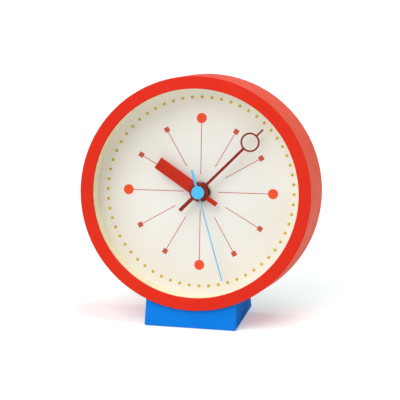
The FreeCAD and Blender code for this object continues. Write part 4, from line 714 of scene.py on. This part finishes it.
# ---- Cover screws ----
# Three small steel screws with cross-recessed pan heads and self-cutting threads.
SCREW_CIRCLE = 60.2
SCREW_PLACES = (90, 210, 330)
SCREW_STEPS = 32
HEAD_RADIUS, HEAD_HEIGHT, HEAD_FACE = 1.4, 0.8, -22.0
HEAD_DOME = ((0.0, 1.0), (0.6, 1.0), (0.9, 0.8), (1.0, 0.4), (1.0, 0.0))
SHANK_RADIUS, SHANK_LENGTH, THREAD_PITCH, THREAD_DEPTH = 0.8, 6.5, 0.55, 0.18
RECESS_WIDTH, RECESS_SPAN, RECESS_DEPTH = 0.38, 1.5, 0.5


def screw_outline():
    """Half the screw's section: domed head, then a thread as a row of ridges, then the point.
    The dome is given in shares of the head's radius and height."""
    head = [(out * HEAD_RADIUS, HEAD_FACE - up * HEAD_HEIGHT) for out, up in HEAD_DOME]
    thread = []
    for turn in range(int(SHANK_LENGTH / THREAD_PITCH) - 1):
        height = HEAD_FACE + turn * THREAD_PITCH
        thread += [(SHANK_RADIUS - THREAD_DEPTH, height), (SHANK_RADIUS, height + THREAD_PITCH / 2)]
    return head + thread + [(0, HEAD_FACE + SHANK_LENGTH)]


screws, crosses = bmesh.new(), bmesh.new()
for place in SCREW_PLACES:
    angle = math.radians(place)
    around = (SCREW_CIRCLE * math.cos(angle), SCREW_CIRCLE * math.sin(angle))
    turned(screws, screw_outline(), around, SCREW_STEPS, closed=False)
    for size in ((RECESS_SPAN, RECESS_WIDTH), (RECESS_WIDTH, RECESS_SPAN)):
        add_block(crosses, (*around, HEAD_FACE - HEAD_HEIGHT), (*size, 2 * RECESS_DEPTH))
cover_screws = new_piece("rear_cover_screws_finish", screws, zinc)
cut_away(cover_screws, new_piece("cross_recesses", crosses, zinc))
stand_in(cover_screws, "rear_cover_screws")


# ---- Floor ----
# A seamless sheet of white paper. It keeps the clock's soft shadow.
FLOOR_SIZE = 6.0
NEAR, FAR = 0.3, 1.8
NEAR_LIFT, FAR_LIFT = 0.34, 0.7


def seen_directly(material):
    """One for a ray of the camera, of a reflection or through the lens, none for the light's rays."""
    rays = add(material, "ShaderNodeLightPath").outputs
    seen = add(material, "ShaderNodeMath", {"operation": "MAXIMUM"}, {
        0: rays["Is Camera Ray"], 1: rays["Is Glossy Ray"]})
    return add(material, "ShaderNodeMath", {"operation": "MAXIMUM"}, {
        0: seen, 1: rays["Is Transmission Ray"]})


def white_paper(name):
    """Matt white paper, lifted to plain white where it is seen, with the shadow left on it. Far
    from the clock, where the lamps fall off, it is lifted more."""
    material, place = new_material(name)
    paper = add(material, "ShaderNodeBsdfDiffuse", {}, {
        "Color": drift(material, place, 400.0, "#f6faf8", "#f4f8f6")})
    away = add(material, "ShaderNodeVectorMath", {"operation": "LENGTH"}, {0: place}).outputs["Value"]
    level = add(material, "ShaderNodeMapRange", {
        "From Min": NEAR, "From Max": FAR, "To Min": NEAR_LIFT, "To Max": FAR_LIFT}, {"Value": away})
    lift = add(material, "ShaderNodeMath", {"operation": "MULTIPLY"}, {
        0: seen_directly(material), 1: level})
    glow = add(material, "ShaderNodeEmission", {"Color": linear("#f6ffff")}, {"Strength": lift})
    return finish_material(material, add(material, "ShaderNodeAddShader", {}, {0: paper, 1: glow}))


sheet = bmesh.new()
bmesh.ops.create_grid(sheet, x_segments=8, y_segments=8, size=FLOOR_SIZE / 2)
floor = new_piece("paper_floor", sheet, white_paper("White paper"), Matrix.Identity(4))


# ---- Light ----
# A large soft lamp at the upper left in front, a weaker one overhead, and white surroundings.
WORLD_LEVEL = 0.34


def soft_lamp(name, place, size, power):
    """A square lamp that looks at the dial's centre."""
    lamp = bpy.data.lights.new(name, "AREA")
    lamp.size = size
    lamp.energy = power
    holder = bpy.data.objects.new(name, lamp)
    bpy.context.scene.collection.objects.link(holder)
    holder.location = place
    aim = clock_frame.translation - holder.location
    holder.rotation_euler = aim.to_track_quat("-Z", "Y").to_euler()


soft_lamp("Key softbox", place=(-0.6, -1.1, 1.45), size=1.6, power=20.8)
soft_lamp("Overhead softbox", place=(0.3, 0.05, 1.25), size=0.7, power=6.5)

world = bpy.data.worlds.new("White studio")
world.use_nodes = True
bpy.context.scene.world = world
world.node_tree.nodes.clear()
level = add(world, "ShaderNodeMapRange", {"To Min": WORLD_LEVEL, "To Max": 1.0}, {
    "Value": seen_directly(world)})
sky = add(world, "ShaderNodeBackground", {"Color": (1, 1, 1, 1)}, {"Strength": level})
add(world, "ShaderNodeOutputWorld", {}, {"Surface": sky})


# ---- Camera ----
# A long lens, to the right of the clock and above it. The angles in degrees say how far it is turned
# from the clock's front, how steeply it looks down and how far it leans to one side.
CAMERA_PLACE = (0.2729, -1.2993, 0.4202)
CAMERA_TURN, CAMERA_DROP, CAMERA_LEAN = 11.8394, 14.9555, 0.1962
LENS_LENGTH, SENSOR_WIDTH, SIGHT_END = 229.3, 36.0, 20.0

camera = bpy.data.objects.new("Camera", bpy.data.cameras.new("Camera"))
bpy.context.scene.collection.objects.link(camera)
camera.data.lens = LENS_LENGTH
camera.data.sensor_width = SENSOR_WIDTH
camera.data.clip_end = SIGHT_END
camera.matrix_world = (
    Matrix.Translation(CAMERA_PLACE)
    @ Matrix.Rotation(math.radians(CAMERA_TURN), 4, "Z")
    @ Matrix.Rotation(math.radians(90 - CAMERA_DROP), 4, "X")
    @ Matrix.Rotation(math.radians(CAMERA_LEAN), 4, "Z"))
bpy.context.scene.camera = camera
bpy.context.scene.view_settings.view_transform = "Standard"
